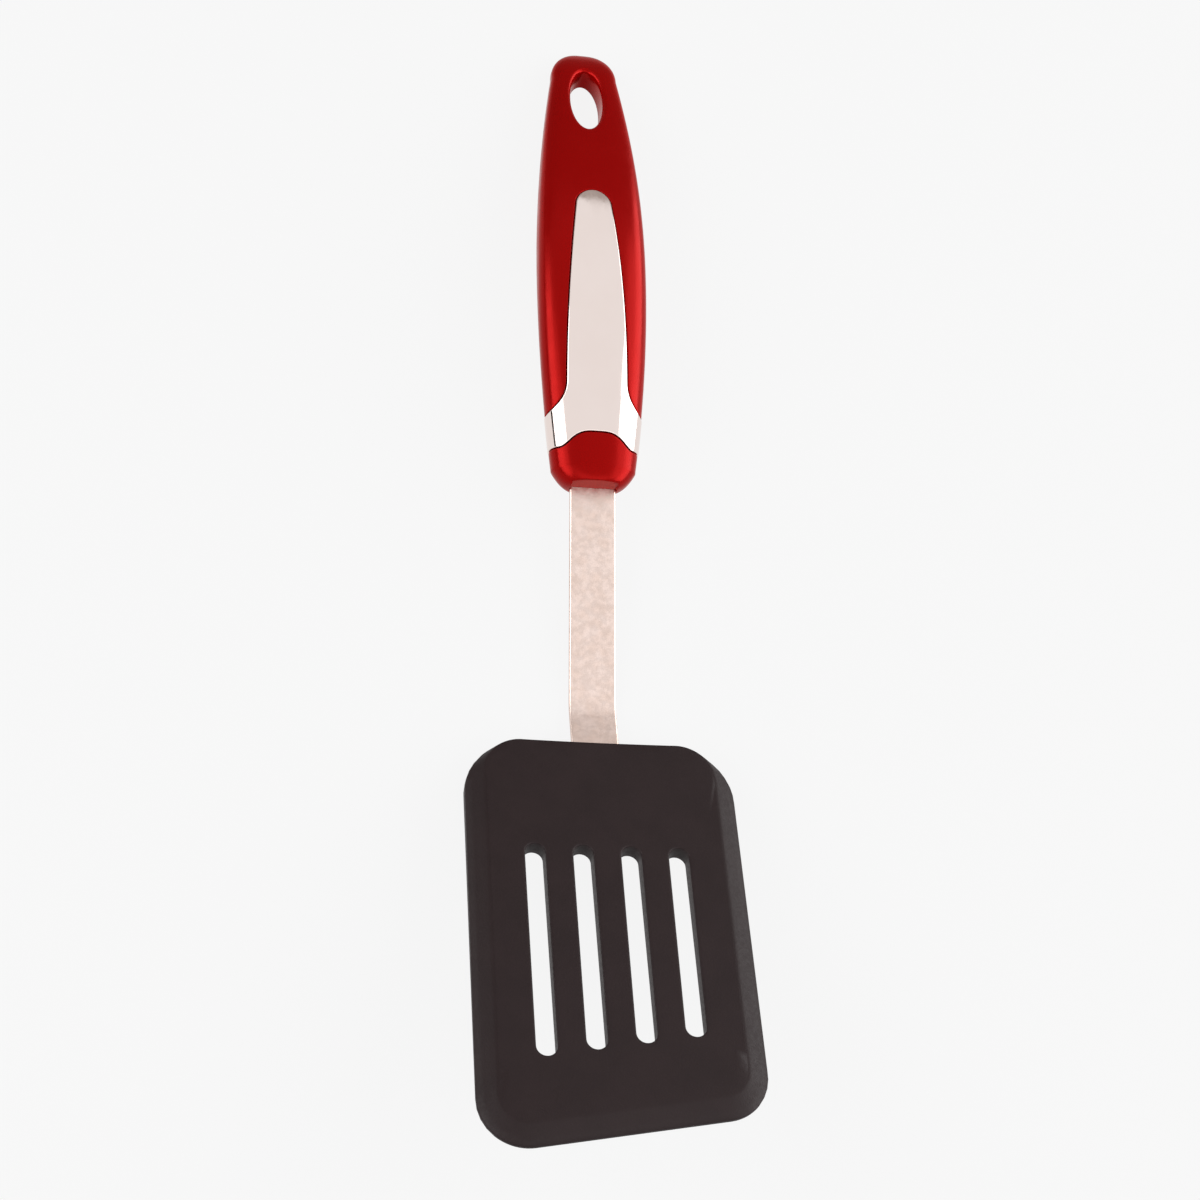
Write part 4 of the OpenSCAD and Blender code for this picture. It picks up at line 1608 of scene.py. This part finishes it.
@dataclass
class Studio:
    """Floor, soft boxes, dark cards, world and camera. Boxes and cards are in metres."""

    pose: RestPose
    target: tuple[float, float, float] = (2.18, -34.25, 0.0)
    off_vertical: float = math.radians(16.49)
    side_angle: float = math.radians(10.82)
    camera_distance: float = 715.72
    lens: float = 72.0
    white: float = 0.94
    room: float = 0.12
    floor_glow: float = 1.0
    floor_grey: float = 0.45
    cards: tuple[DarkCard, ...] = (
        DarkCard(
            "back_card",
            ((-2.5, 1.40, 1.22), (2.5, 1.40, 1.22), (2.5, 1.9, 0.0), (-2.5, 1.9, 0.0)),
            0.42,
        ),
        DarkCard(
            "left_rim",
            ((-1.42, -0.9, 0.22), (-1.42, 1.6, 0.22), (-1.42, 1.6, 0.0), (-1.42, -0.9, 0.0)),
            0.02,
        ),
    )
    floor_share: float = 0.88
    floor_reach: float = 6.0
    boxes: tuple[SoftBox, ...] = (
        SoftBox("left_high", (-0.78, 1.0), (-0.98, 0.80), (-0.7, 0.55), 2.0),
        SoftBox("left_low", (-0.98, 0.80), (-1.36, 0.30), (-0.9, 0.75), 3.8),
        SoftBox("right_high", (0.80, 1.1), (1.20, 0.75), (-0.7, 1.1), 2.0),
        SoftBox("right_low", (1.20, 0.75), (1.46, 0.08), (-0.9, 1.4), 4.2),
        SoftBox("front_top", (-0.6, 1.0), (0.6, 1.0), (-1.2, -0.4), 1.2),
    )

    @staticmethod
    def _placed(x: np.ndarray, y: np.ndarray, z: np.ndarray, place: np.ndarray) -> Matrix:
        """A matrix with the given three axes and place as its columns."""
        columns = np.stack([x, y, z, place], axis=1)
        return Matrix([*columns.tolist(), [0.0, 0.0, 0.0, 1.0]])

    def camera(self) -> None:
        """Places the camera, with the handle's line upright in the picture."""
        across = self.side_angle
        back = self.off_vertical
        level = math.cos(across)
        away = np.array([-math.sin(across), -math.sin(back) * level, math.cos(back) * level])
        target = self.pose.lay(np.array(self.target))
        place = target + self.pose.turn(away) * self.camera_distance * MM
        z = self.pose.turn(away)
        y = self.pose.turn(np.array([0.0, 1.0, 0.0]))
        y = y - z * float(y @ z)
        y /= np.linalg.norm(y)
        x = np.cross(y, z)
        data = bpy.data.cameras.new("camera")
        data.lens = self.lens
        data.sensor_width = 36.0
        data.clip_start, data.clip_end = 0.01, 50.0
        made = bpy.data.objects.new("camera", data)
        bpy.context.scene.collection.objects.link(made)
        made.matrix_world = self._placed(x, y, z, place)
        bpy.context.scene.camera = made

    def lights(self) -> None:
        """Places the soft boxes: each is a rectangle between its two long edges, facing the spatula."""
        low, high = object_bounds()
        middle = np.array([(a + b) / 2 for a, b in zip(low, high)])
        along_y = np.array([0.0, 1.0, 0.0])
        for box in self.boxes:
            near = np.array([box.near_edge[0], 0.0, box.near_edge[1]])
            far = np.array([box.far_edge[0], 0.0, box.far_edge[1]])
            across = far - near
            width, length = float(np.linalg.norm(across)), box.ends[1] - box.ends[0]
            across /= width
            centre = (near + far) / 2 + along_y * (box.ends[0] + box.ends[1]) / 2
            out = np.cross(across, along_y)
            if out @ centre < 0:
                across, out = -across, -out
            data = bpy.data.lights.new(box.name, "AREA")
            data.shape = "RECTANGLE"
            data.size, data.size_y = width, length
            data.energy = box.radiance * math.pi * width * length
            made = bpy.data.objects.new(box.name, data)
            bpy.context.scene.collection.objects.link(made)
            made.matrix_world = self._placed(across, along_y, out, middle + centre)

    @staticmethod
    def _seen(sheet: NodeSheet, share: float) -> bpy.types.NodeSocket:
        """A share for rays from the camera, from shiny and from clear surfaces, and 0 for all others.

        Args:
            sheet: the material's nodes.
            share: the share for the rays that see it.

        Returns:
            The output with the share.
        """
        path = sheet.place("ShaderNodeLightPath")
        total = path.outputs["Is Camera Ray"]
        for kind in ("Is Glossy Ray", "Is Transmission Ray"):
            add = sheet.place("ShaderNodeMath", {"operation": "MAXIMUM"})
            sheet.feed(add.inputs[0], total)
            sheet.feed(add.inputs[1], path.outputs[kind])
            total = add.outputs[0]
        scaled = sheet.place("ShaderNodeMath", {"operation": "MULTIPLY"})
        sheet.feed(scaled.inputs[0], total)
        sheet.feed(scaled.inputs[1], share)
        return scaled.outputs[0]

    def world(self) -> None:
        """A soft grey room that shows as white to the camera and in shiny surfaces."""
        world = bpy.data.worlds.new("studio")
        bpy.context.scene.world = world
        world.use_nodes = True
        world.node_tree.nodes.clear()
        sheet = NodeSheet(world.node_tree)
        plain = sheet.place("ShaderNodeBackground", Color=(1.0, 1.0, 1.0, 1.0), Strength=self.room)
        seen = sheet.place("ShaderNodeBackground", Color=(1.0, 1.0, 1.0, 1.0), Strength=self.white)
        mix = sheet.place("ShaderNodeMixShader", Fac=self._seen(sheet, 1.0))
        sheet.feed(mix.inputs[1], plain.outputs[0])
        sheet.feed(mix.inputs[2], seen.outputs[0])
        sheet.feed(sheet.place("ShaderNodeOutputWorld").inputs["Surface"], mix.outputs[0])

    def floor(self) -> None:
        """A pale floor, mostly plain white where it is seen, with some shading kept for the shadow."""
        mesh = bpy.data.meshes.new("floor")
        reach = self.floor_reach
        corners = [(-reach, -reach, 0), (reach, -reach, 0), (reach, reach, 0), (-reach, reach, 0)]
        mesh.from_pydata(corners, [], [(0, 1, 2, 3)])
        material = bpy.data.materials.new("pale_floor")
        material.use_nodes = True
        material.node_tree.nodes.clear()
        sheet = NodeSheet(material.node_tree)
        matt = sheet.place("ShaderNodeBsdfDiffuse", Color=(*[self.floor_grey] * 3, 1.0))
        glow = sheet.place("ShaderNodeEmission", Color=(1.0, 1.0, 1.0, 1.0), Strength=self.floor_glow)
        mix = sheet.place("ShaderNodeMixShader", Fac=self._seen(sheet, self.floor_share))
        sheet.feed(mix.inputs[1], matt.outputs[0])
        sheet.feed(mix.inputs[2], glow.outputs[0])
        sheet.feed(sheet.place("ShaderNodeOutputMaterial").inputs["Surface"], mix.outputs[0])
        mesh.materials.append(material)
        made = bpy.data.objects.new("floor", mesh)
        bpy.context.scene.collection.objects.link(made)
        made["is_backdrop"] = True

    def dark_cards(self) -> None:
        """Places the cards that only shiny surfaces see."""
        for card in self.cards:
            material = bpy.data.materials.new(card.name)
            material.use_nodes = True
            material.node_tree.nodes.clear()
            sheet = NodeSheet(material.node_tree)
            glow = sheet.place("ShaderNodeEmission", Color=(1.0, 0.90, 0.84, 1.0), Strength=card.glow)
            sheet.feed(sheet.place("ShaderNodeOutputMaterial").inputs["Surface"], glow.outputs[0])
            mesh = bpy.data.meshes.new(card.name)
            mesh.from_pydata(list(card.corners), [], [(0, 1, 2, 3)])
            mesh.materials.append(material)
            made = bpy.data.objects.new(card.name, mesh)
            bpy.context.scene.collection.objects.link(made)
            made.visible_camera = made.visible_diffuse = made.visible_shadow = False
            made.visible_transmission = False
            made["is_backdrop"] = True

    def build(self) -> None:
        """Sets the whole studio."""
        self.lights()
        self.dark_cards()
        self.world()
        self.floor()
        self.camera()
        bpy.context.scene.view_settings.view_transform = "Standard"
        LOG.info("studio: %d soft boxes", len(self.boxes))


def main() -> None:
    """Builds the spatula's pieces in order, then the studio."""
    logging.basicConfig(level=logging.INFO, format="%(name)s: %(message)s")
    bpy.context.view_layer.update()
    form, strap = HandleForm(), StrapLine()
    lines = JointLines(form)
    pose = RestPose(form, strap)
    workshop = Workshop(pose)
    blade = Blade(strap)
    workshop.piece("blade_moulding", blade.skin(), NYLON, "blade")
    workshop.piece("blade_boss", Boss(blade).skin(), NYLON, "blade")
    workshop.piece("steel_strap", Shank(strap).skin(), STEEL, "shank")
    workshop.piece("chrome_collar", Collar(form, lines).skin(), CHROME, "collar")
    workshop.piece("red_nose_cap", NoseCap(form, lines, strap).skin(), RED_GLOSS, "nose_cap")
    workshop.piece("red_grip", Grip(form, lines).skin(), RED_GLOSS, "grip")
    workshop.repaint("handle_core", CORE_PLASTIC)
    workshop.repaint("tang_pins", STEEL)
    Studio(pose).build()
    LOG.info("boxes written")


if __name__ == "__main__":
    main()
